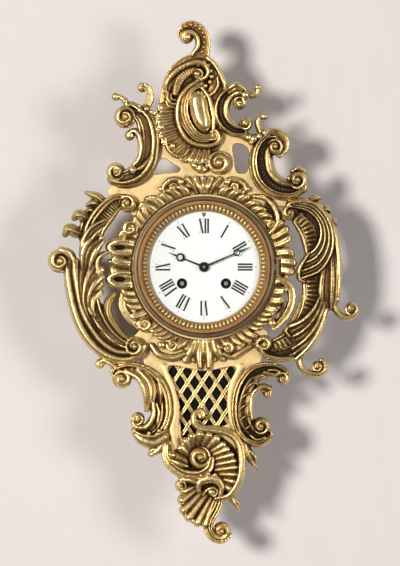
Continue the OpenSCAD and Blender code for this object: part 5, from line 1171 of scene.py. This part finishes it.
CREST_GROUND = ((-93, 70), (-95, 79), (-82, 85), (-68, 97), (-58, 108), (-55, 122), (-56, 136), (-47, 146),
                (-39, 162), (-30, 194), (-10, 206), (8, 200), (18, 185), (23, 168), (25, 140), (42, 134),
                (60, 122), (64, 102), (74, 88), (92, 77), (88, 62), (0, 60), (-70, 60))
APRON_GROUND = ((-62, -62), (-62, -90), (-55, -107), (-47, -125), (-45, -141), (-46, -160), (-40, -176),
                (-30, -190), (-22, -207), (0, -214), (20, -210), (31, -192), (38, -178), (44, -162),
                (40, -143), (41, -125), (47, -108), (58, -92), (60, -62), (0, -66))
GAP_LEFT = ((-41, 109), (-30, 103), (-24, 99), (-26, 95), (-40, 94), (-49, 93), (-47, 101))
GAP_RIGHT = ((29, 122), (38, 123), (45, 117), (45, 105), (43, 95), (33, 95), (30, 108))
GRILLE_GAP = ((-35, -99), (0, -104), (31, -100), (25, -118), (23, -138), (24, -157), (11, -161), (-4, -166),
              (-20, -174), (-24, -158), (-25, -138), (-30, -118))
GRILLE_WINDOW = (-42, -182, 38, -92)
GRILLE_MIDDLE = (-2, -138)
CLOTH_SETBACK = 0.5
LUGS = ((-76, 65), (-70, -80), (84, 54), (61, -78))
LUG_HALF = 7
FLAT = 0.001
PLAIN_GRID = 0.8
LATTICE_GRID = 0.4


def case_ground():
    """The flat plate behind the ornament with its openings, and a raised band on each side of the lattice."""
    r = Relief(-100, -218, 100, 210, PLAIN_GRID)
    r.disc(GROUND_R, 0.0)
    r.pad(CREST_GROUND, FLAT)
    r.pad(APRON_GROUND, FLAT)
    for x, y in LUGS:
        r.band([(0.8 * x, 0.8 * y, LUG_HALF, FLAT), (x, y, LUG_HALF, FLAT)], level_top)
    r.band([(-40, -100, 3.6, 1.2), (-32.5, -117, 5, 1.8), (-28.5, -132, 5, 2), (-28, -146, 5, 2),
            (-30.5, -160, 5, 2), (-29, -173, 4.4, 1.8), (-25, -184, 3.4, 1.2)], rounded)
    r.band([(37, -100, 3.6, 1.2), (29.5, -118, 5, 1.8), (26.5, -134, 5, 2), (28.5, -150, 5, 2),
            (33, -163, 4.6, 1.8)], rounded)
    for gap in (GAP_LEFT, GAP_RIGHT, GRILLE_GAP):
        r.pierce(gap)
    r.clear(THROAT_R)
    return r


def lattice(pitch=14.5, rise=22.0, bar=2.0, thick=3.0, lap=3.6, rim_top=2.0):
    """The lattice: crossing bars, each with a groove along its middle, inside a rim that laps the ground."""
    r = Relief(*GRILLE_WINDOW, LATTICE_GRID)
    whole = (slice(None), slice(None))
    lean = math.atan2(rise, pitch)
    width = pitch * math.sin(lean)
    gx, gy = np.meshgrid(r.x, r.y)
    edge = np.full(gx.shape, -9.0)
    area, rim = r.outline(GRILLE_GAP)
    edge[area] = rim
    x, y = GRILLE_MIDDLE
    for sign in (1, -1):
        across = (gx - x) * math.sin(lean) * sign - (gy - y) * math.cos(lean)
        off = np.abs((across / width + 0.5) % 1 - 0.5) * width
        u = np.clip(off / bar, 0, 1)
        top = thick * (0.6 + 0.4 * arch(((u - 0.55) / 0.5) ** 2))
        r.lay(whole, np.minimum(bar - off, edge + 3), top)
    r.lay(whole, np.minimum(edge + lap, 0.5 - edge), np.full(gx.shape, rim_top))
    return r


def grille_cloth():
    """The silk stretched behind the lattice: a thin sheet with a slight swell."""
    r = Relief(*GRILLE_WINDOW, PLAIN_GRID)
    area, inside = r.outline(GRILLE_GAP)
    gx, gy = np.meshgrid(r.x[area[1]], r.y[area[0]])
    r.lay(area, inside + 0.6, 0.36 + 0.08 * np.sin(gx / 5) * np.sin(gy / 7))
    return r


def add_casting(relief, name, material="gilt", slot="gilt_bronze", around=0.0, **more):
    """Builds a casting that stands for the solid it is named after."""
    node = name.rsplit("_", 1)[0]
    return dress(relief.build(name, around=around, **more), finish(material), "case", slot, node)


def add_castings(material, *makers):
    """Builds castings that share a finish."""
    for maker in makers:
        add_casting(maker(), maker.__name__ + "_chased", material)


class CLOCK_OT_crest(bpy.types.Operator):
    """Builds the four castings of the crest"""

    bl_idname = "clock.crest"
    bl_label = "Crest"

    def execute(self, context):
        add_castings("gilt", crest_shell)
        add_castings("shaded", crest_scroll_left, crest_scroll_right)
        add_casting(crest_cabochon(), "crest_cabochon_chased", "burnished", "burnished_gilt", around=4.0,
                    back=4.8)
        return {"FINISHED"}


class CLOCK_OT_branches(bpy.types.Operator):
    """Builds the two side branches"""

    bl_idname = "clock.branches"
    bl_label = "Side branches"

    def execute(self, context):
        add_castings("shaded", side_branch_left, side_branch_right)
        return {"FINISHED"}


class CLOCK_OT_surround(bpy.types.Operator):
    """Builds the rocaille ring around the bezel"""

    bl_idname = "clock.surround"
    bl_label = "Dial surround"

    def execute(self, context):
        add_castings("gilt", dial_surround)
        return {"FINISHED"}


class CLOCK_OT_apron(bpy.types.Operator):
    """Builds the scrolls and the shell under the dial"""

    bl_idname = "clock.apron"
    bl_label = "Apron and base"

    def execute(self, context):
        add_castings("shaded", apron_scroll_right)
        add_castings("gilt", apron_scroll_left, base_shell)
        return {"FINISHED"}


class CLOCK_OT_ground(bpy.types.Operator):
    """Builds the ground plate, the lattice and the cloth behind it"""

    bl_idname = "clock.ground"
    bl_label = "Ground and lattice"

    def execute(self, context):
        add_casting(case_ground(), "case_ground_chased", "matt", "matt_gilt", around=-3.0,
                    back=GROUND_BACK - FACE)
        add_casting(lattice(), "lattice_grille_chased", around=-1.0, base=GRILLE_BACK)
        silk = grille_cloth()
        cut = (silk.inside > 0).sum() * (silk.step * MM) ** 2
        cloth = add_casting(silk, "grille_cloth_silk", "silk", "cloth", base=GRILLE_BACK - CLOTH_SETBACK)
        return {"FINISHED"}


def dress_nodes(material, *names):
    """Gives solids that stay as they are a finish."""
    for name in names:
        mesh = frame["nodes"][name].data
        mesh.materials.clear()
        mesh.materials.append(finish(material))


# Repeats made with Geometry Nodes

def ring_tree(name, count, radius, size, lift, turn, material):
    """A node tree that sets copies of a rounded bar around a ring, with its sizes as inputs."""
    tree = bpy.data.node_groups.new(name, "GeometryNodeTree")
    face = tree.interface
    keys = {}
    for label, kind, value in (("Count", "NodeSocketInt", count), ("Radius", "NodeSocketFloat", radius),
                               ("Size", "NodeSocketVector", size), ("Place", "NodeSocketVector", lift),
                               ("Turn", "NodeSocketVector", (math.pi / 2, turn, 0))):
        keys[label] = (face.new_socket(label, in_out="INPUT", socket_type=kind).identifier, value)
    face.new_socket("Geometry", in_out="OUTPUT", socket_type="NodeSocketGeometry")
    nodes, links = tree.nodes, tree.links
    inputs = nodes.new("NodeGroupInput")
    outputs = nodes.new("NodeGroupOutput")

    def node(kind, **values):
        made = nodes.new(kind)
        for key, value in values.items():
            target = made.inputs[key.replace("_", " ")]
            if hasattr(value, "links"):
                links.new(value, target)
            else:
                target.default_value = value
        return made

    circle = node("GeometryNodeMeshCircle", Vertices=inputs.outputs["Count"], Radius=inputs.outputs["Radius"])
    flat = node("GeometryNodeTransform", Geometry=circle.outputs["Mesh"], Rotation=inputs.outputs["Turn"],
                Translation=inputs.outputs["Place"])
    ball = node("GeometryNodeMeshUVSphere", Segments=10, Rings=6, Radius=0.5)
    bead = node("GeometryNodeTransform", Geometry=ball.outputs["Mesh"], Scale=inputs.outputs["Size"])
    place = nodes.new("GeometryNodeInputPosition")
    out = nodes.new("ShaderNodeVectorMath")
    out.operation = "SUBTRACT"
    links.new(place.outputs[0], out.inputs[0])
    links.new(inputs.outputs["Place"], out.inputs[1])
    aligned = nodes.new("FunctionNodeAlignRotationToVector")
    aligned.axis = "Z"
    links.new(out.outputs[0], aligned.inputs["Vector"])
    copies = node("GeometryNodeInstanceOnPoints", Points=flat.outputs["Geometry"],
                  Instance=bead.outputs["Geometry"], Rotation=aligned.outputs["Rotation"])
    real = node("GeometryNodeRealizeInstances", Geometry=copies.outputs["Instances"])
    smooth = node("GeometryNodeSetShadeSmooth", Geometry=real.outputs["Geometry"])
    done = node("GeometryNodeSetMaterial", Geometry=smooth.outputs["Geometry"], Material=material)
    links.new(done.outputs["Geometry"], outputs.inputs["Geometry"])
    return tree, keys


def ring_of(name, count, radius, size, place, material, turn=0.0):
    """A plain mesh of copies around a ring, made by a node tree whose modifier is then taken off."""
    thing = add_object(name, bpy.data.meshes.new(name))
    modifier = thing.modifiers.new("ring", "NODES")
    modifier.node_group, keys = ring_tree(name, count, radius, size, place, turn, material)
    for key, value in keys.values():
        modifier[key] = value
    graph = bpy.context.evaluated_depsgraph_get()
    mesh = bpy.data.meshes.new_from_object(thing.evaluated_get(graph))
    thing.modifiers.clear()
    thing.data = mesh
    if not mesh.polygons:
        raise RuntimeError(name + " came out empty")
    return thing


# Eggs and darts, in metres: width, depth and length
EGG_SIZE = (0.0038, 0.0036, 0.0068)
DART_SIZE = (0.0026, 0.0035, 0.0080)
DART_OUT = 0.0004


class CLOCK_OT_bezel(bpy.types.Operator):
    """Sets the eggs and darts on the sight ring and dresses the bezel and the glass"""

    bl_idname = "clock.bezel"
    bl_label = "Bezel"

    def execute(self, context):
        d = context.scene.clock_dial
        place = Vector((DIAL_CENTRE.x, -(SIGHT_FRONT - EGG_SINK) * MM, DIAL_CENTRE.z))
        eggs = ring_of("sight_eggs", d.egg_count, d.egg_radius, EGG_SIZE, place, finish("egg"))
        darts = ring_of("sight_darts", d.egg_count, d.egg_radius + DART_OUT, DART_SIZE, place, finish("dart"),
                        math.pi / d.egg_count)
        dress(eggs, finish("egg"), "bezel_door", "gilt_bronze")
        dress(darts, finish("dart"), "bezel_door", "gilt_bronze")
        dress_nodes("bezel", "sight_ring", "bezel", "bezel_base")
        dress_nodes("glass", "bezel_glass")
        return {"FINISHED"}


# Dial

# Marks on the dial, in millimetres, and the size of a minute mark in metres
INK_LOW, INK_HIGH = 0.02, 0.05
HOUR_MARK_HALF = 0.9
HOUR_MARK_WIDTH = 0.55
TWELVE_MARK = ((-1.9, 54.2, 1.9, 54.2, 0.5), (-1.9, 54.2, 0, 50.4, 0.9), (1.9, 54.2, 0, 50.4, 0.9))
MINUTE_MARK_SIZE = (0.00022, 0.0001, 0.0011)
FIGURES = ("XII", "I", "II", "III", "IIII", "V", "VI", "VII", "VIII", "IX", "X", "XI")


def figure_strokes(text, height):
    """Strokes of a Roman figure as (x0, y0, x1, y1, width), centred, with hairline serifs."""
    widths = {"I": 0.19, "V": 0.38, "X": 0.38}
    total = sum(widths[c] for c in text)
    x = -total / 2
    thick, thin, inset = 0.128, 0.018, 0.08
    strokes = []
    for c in text:
        w = widths[c]
        left, middle, right = x + inset, x + w / 2, x + w - inset
        if c == "I":
            strokes.append((middle, -0.5, middle, 0.5, thick))
        elif c == "V":
            strokes += [(left, 0.5, middle, -0.5, thick), (right, 0.5, middle + 0.02, -0.5, thin)]
        else:
            strokes += [(left, 0.5, right, -0.5, thick), (right, 0.5, left, -0.5, thin)]
        x += w
    for y in (-0.5, 0.5):
        strokes.append((-total / 2 + 0.03, y, total / 2 - 0.03, y, thin))
    return [tuple(v * height for v in s) for s in strokes]


def slabs(name, strokes, low, high):
    """A mesh of thin bars, each from a stroke (x0, y0, x1, y1, width) in millimetres, between two heights."""
    points, quads = [], []
    for x0, y0, x1, y1, w in strokes:
        length = max(math.hypot(x1 - x0, y1 - y0), 1e-6)
        nx, ny = -(y1 - y0) / length * w / 2, (x1 - x0) / length * w / 2
        corners = [(x0 - nx, y0 - ny), (x1 - nx, y1 - ny), (x1 + nx, y1 + ny), (x0 + nx, y0 + ny)]
        n = len(points)
        points += [(x, y, low) for x, y in corners] + [(x, y, high) for x, y in corners]
        quads += [[n + 4, n + 5, n + 6, n + 7], [n + 3, n + 2, n + 1, n]]
        quads += [[n + i, n + (i + 1) % 4, n + 4 + (i + 1) % 4, n + 4 + i] for i in range(4)]
    p = np.array(points)
    thing = plain_mesh(name, to_frame(p[:, 0], p[:, 1], p[:, 2]), np.array(quads))
    thing.data.shade_flat()
    return thing


class CLOCK_OT_dial(bpy.types.Operator):
    """Paints the figures and the minute marks and dresses the dial and its hands"""

    bl_idname = "clock.dial"
    bl_label = "Dial and hands"

    def execute(self, context):
        d = context.scene.clock_dial
        strokes = []
        for hour, text in enumerate(FIGURES):
            turn = math.radians(-30 * hour)
            c, s = math.cos(turn), math.sin(turn)
            for x0, y0, x1, y1, w in figure_strokes(text, d.figure_height / MM):
                a, b = y0 + d.figure_radius / MM, y1 + d.figure_radius / MM
                strokes.append((x0 * c - a * s, x0 * s + a * c, x1 * c - b * s, x1 * s + b * c, w))
            near = d.minute_radius / MM - HOUR_MARK_HALF
            far = d.minute_radius / MM + HOUR_MARK_HALF
            if hour:
                strokes.append((-near * s, near * c, -far * s, far * c, HOUR_MARK_WIDTH))
        strokes += TWELVE_MARK
        figures = slabs("dial_figures", strokes, DIAL_FRONT - INK_LOW, DIAL_FRONT + INK_HIGH)
        dress(figures, finish("ink"), "case", "enamel")
        place = Vector((DIAL_CENTRE.x, -DIAL_FRONT * MM, DIAL_CENTRE.z))
        marks = ring_of("minute_marks", 60, d.minute_radius, MINUTE_MARK_SIZE, place, finish("ink"))
        dress(marks, finish("ink"), "case", "enamel")
        dress_nodes("enamel", "dial")
        dress_nodes("blued", "hour_hand", "minute_hand", "hand_collet")
        return {"FINISHED"}


class CLOCK_OT_movement(bpy.types.Operator):
    """Dresses the drum, the movement, the bell and the fastenings"""

    bl_idname = "clock.movement"
    bl_label = "Movement"

    def execute(self, context):
        slots = {part["node"]: part["material_slot"] for part in frame["record"]["subparts"]}
        for node, slot in slots.items():
            if slot in ("brass", "steel"):
                dress_nodes(slot, node)
            elif slot == "bell_metal":
                dress_nodes("bell", node)
        dress_nodes("winding", "going_arbor", "strike_arbor")
        return {"FINISHED"}


# Stage

# The room in metres, and the camera's sensor in millimetres
ROOM_HALF = 4
ROOM_DEPTH = 5
FLOOR = -1.4
CEILING = 3
WALL = 0.0005
SENSOR = 36


def wall_finish(name, colour):
    """Pale distemper, seen only from its front and lit as if it let lamps behind it through."""
    f = Finish(name)
    brushed = f.get("ShaderNodeMapping", "Vector", {}, {"Vector": f.place, "Scale": (70.0, 1.0, 9.0)})
    strokes = f.get("ShaderNodeTexNoise", "Fac", {}, {"Vector": brushed, "Scale": 1.0, "Detail": 4.0})
    paint = f.mix(0.6 * f.noise(3, 5) + 0.4 * strokes, shade(colour, 0.955), shade(colour, 1.045))
    f.set(Base_Color=paint, Roughness=0.9)
    behind = f.get("ShaderNodeNewGeometry", "Backfacing")
    shadow = f.get("ShaderNodeLightPath", "Is Shadow Ray")
    clear = f.add("ShaderNodeBsdfTransparent", {}, {})
    return f.blend(behind.above(shadow), f.shader, clear)


def backdrop(name, corners, material):
    """A flat four cornered part of the room."""
    mesh = bpy.data.meshes.new(name)
    mesh.from_pydata(corners, [], [(0, 1, 2, 3)])
    mesh.materials.append(material)
    add_object(name, mesh)


def lamp(name, place, aim, power, size, colour=(1, 1, 1)):
    """A round lamp turned towards a point."""
    light = bpy.data.lights.new(name, "AREA")
    light.energy = power
    light.shape = "DISK"
    light.size = size
    light.color = colour
    thing = add_object(name, light)
    thing.location = place
    thing.rotation_euler = (Vector(aim) - Vector(place)).to_track_quat("-Z", "Y").to_euler()


def studio_world():
    """A pale room: bright where the camera, gloss and glass see it, dim as light of its own."""
    world = bpy.data.worlds.new("studio")
    world.use_nodes = True
    nodes, links = world.node_tree.nodes, world.node_tree.links
    path = nodes.new("ShaderNodeLightPath")
    seen = path.outputs["Is Camera Ray"]
    for ray in ("Is Glossy Ray", "Is Transmission Ray"):
        both = nodes.new("ShaderNodeMath")
        both.operation = "MAXIMUM"
        links.new(seen, both.inputs[0])
        links.new(path.outputs[ray], both.inputs[1])
        seen = both.outputs[0]
    direction = nodes.new("ShaderNodeSeparateXYZ")
    links.new(nodes.new("ShaderNodeTexCoord").outputs["Generated"], direction.inputs[0])
    room_side = nodes.new("ShaderNodeMapRange")
    for label, value in (("From Min", -0.7), ("From Max", 0.1), ("To Min", 0.24), ("To Max", 0.7)):
        room_side.inputs[label].default_value = value
    links.new(direction.outputs["Y"], room_side.inputs["Value"])
    level = nodes.new("ShaderNodeMapRange")
    level.inputs["To Min"].default_value = 0.01
    links.new(seen, level.inputs["Value"])
    links.new(room_side.outputs["Result"], level.inputs["To Max"])
    room = nodes["Background"]
    room.inputs["Color"].default_value = (0.95, 0.92, 0.89, 1)
    links.new(level.outputs["Result"], room.inputs["Strength"])
    return world


class CLOCK_OT_stage(bpy.types.Operator):
    """Sets up the wall, the floor, the lamps and the camera"""

    bl_idname = "clock.stage"
    bl_label = "Stage"

    def execute(self, context):
        scene = context.scene
        s = scene.clock_stage
        paint = wall_finish("wall_paint", tuple(s.wall))
        boards = wall_finish("floor_paint", shade(s.wall, 0.3))
        foot = [(-ROOM_HALF, WALL, FLOOR), (ROOM_HALF, WALL, FLOOR)]
        backdrop("wall", foot + [(ROOM_HALF, WALL, CEILING), (-ROOM_HALF, WALL, CEILING)], paint)
        front = [(-ROOM_HALF, -ROOM_DEPTH, FLOOR), (ROOM_HALF, -ROOM_DEPTH, FLOOR)]
        backdrop("floor", front + foot[::-1], boards)
        aim = Vector(s.aim)
        lamp("key", (-1.82, -3.65, 0.3), aim, s.key, 0.8, (1, 0.98, 0.95))
        lamp("fill", (2.9, -3.3, 0.0), aim, s.fill, 1.4)
        lamp("back", (0.3, 1.6, 0.5), aim, 4.0, 1.2)
        scene.world = studio_world()
        camera = add_object("camera", bpy.data.cameras.new("camera"))
        camera.location = (aim.x, -s.distance, aim.z)
        camera.rotation_euler = (math.pi / 2, 0, 0)
        camera.data.sensor_fit = "VERTICAL"
        camera.data.sensor_height = SENSOR
        camera.data.sensor_width = SENSOR
        camera.data.lens = SENSOR * (s.distance + aim.y) / s.view_height
        scene.camera = camera
        scene.view_settings.view_transform = "Standard"
        return {"FINISHED"}


OPERATORS = (CLOCK_OT_crest, CLOCK_OT_branches, CLOCK_OT_surround, CLOCK_OT_apron, CLOCK_OT_ground,
             CLOCK_OT_bezel, CLOCK_OT_dial, CLOCK_OT_movement, CLOCK_OT_stage)
GROUPS = {"clock_castings": CLOCK_PG_castings, "clock_dial": CLOCK_PG_dial, "clock_stage": CLOCK_PG_stage}


class CLOCK_PT_panel(bpy.types.Panel):
    """Lists the clock's pieces and settings"""

    bl_idname = "CLOCK_PT_panel"
    bl_label = "Cartel clock"
    bl_space_type = "VIEW_3D"
    bl_region_type = "UI"
    bl_category = "Clock"

    def draw(self, context):
        for name, group in GROUPS.items():
            for key in group.__annotations__:
                self.layout.prop(getattr(context.scene, name), key)
        for operator in OPERATORS:
            self.layout.operator(operator.bl_idname)


def register():
    for cls in (*GROUPS.values(), *OPERATORS, CLOCK_PT_panel):
        bpy.utils.register_class(cls)
    for name, group in GROUPS.items():
        setattr(bpy.types.Scene, name, bpy.props.PointerProperty(type=group))


def unregister():
    for name in GROUPS:
        delattr(bpy.types.Scene, name)
    for cls in reversed((*GROUPS.values(), *OPERATORS, CLOCK_PT_panel)):
        bpy.utils.unregister_class(cls)


def main():
    register()
    for operator in OPERATORS:
        group, name = operator.bl_idname.split(".")
        getattr(getattr(bpy.ops, group), name)()


if __name__ == "__main__":
    main()
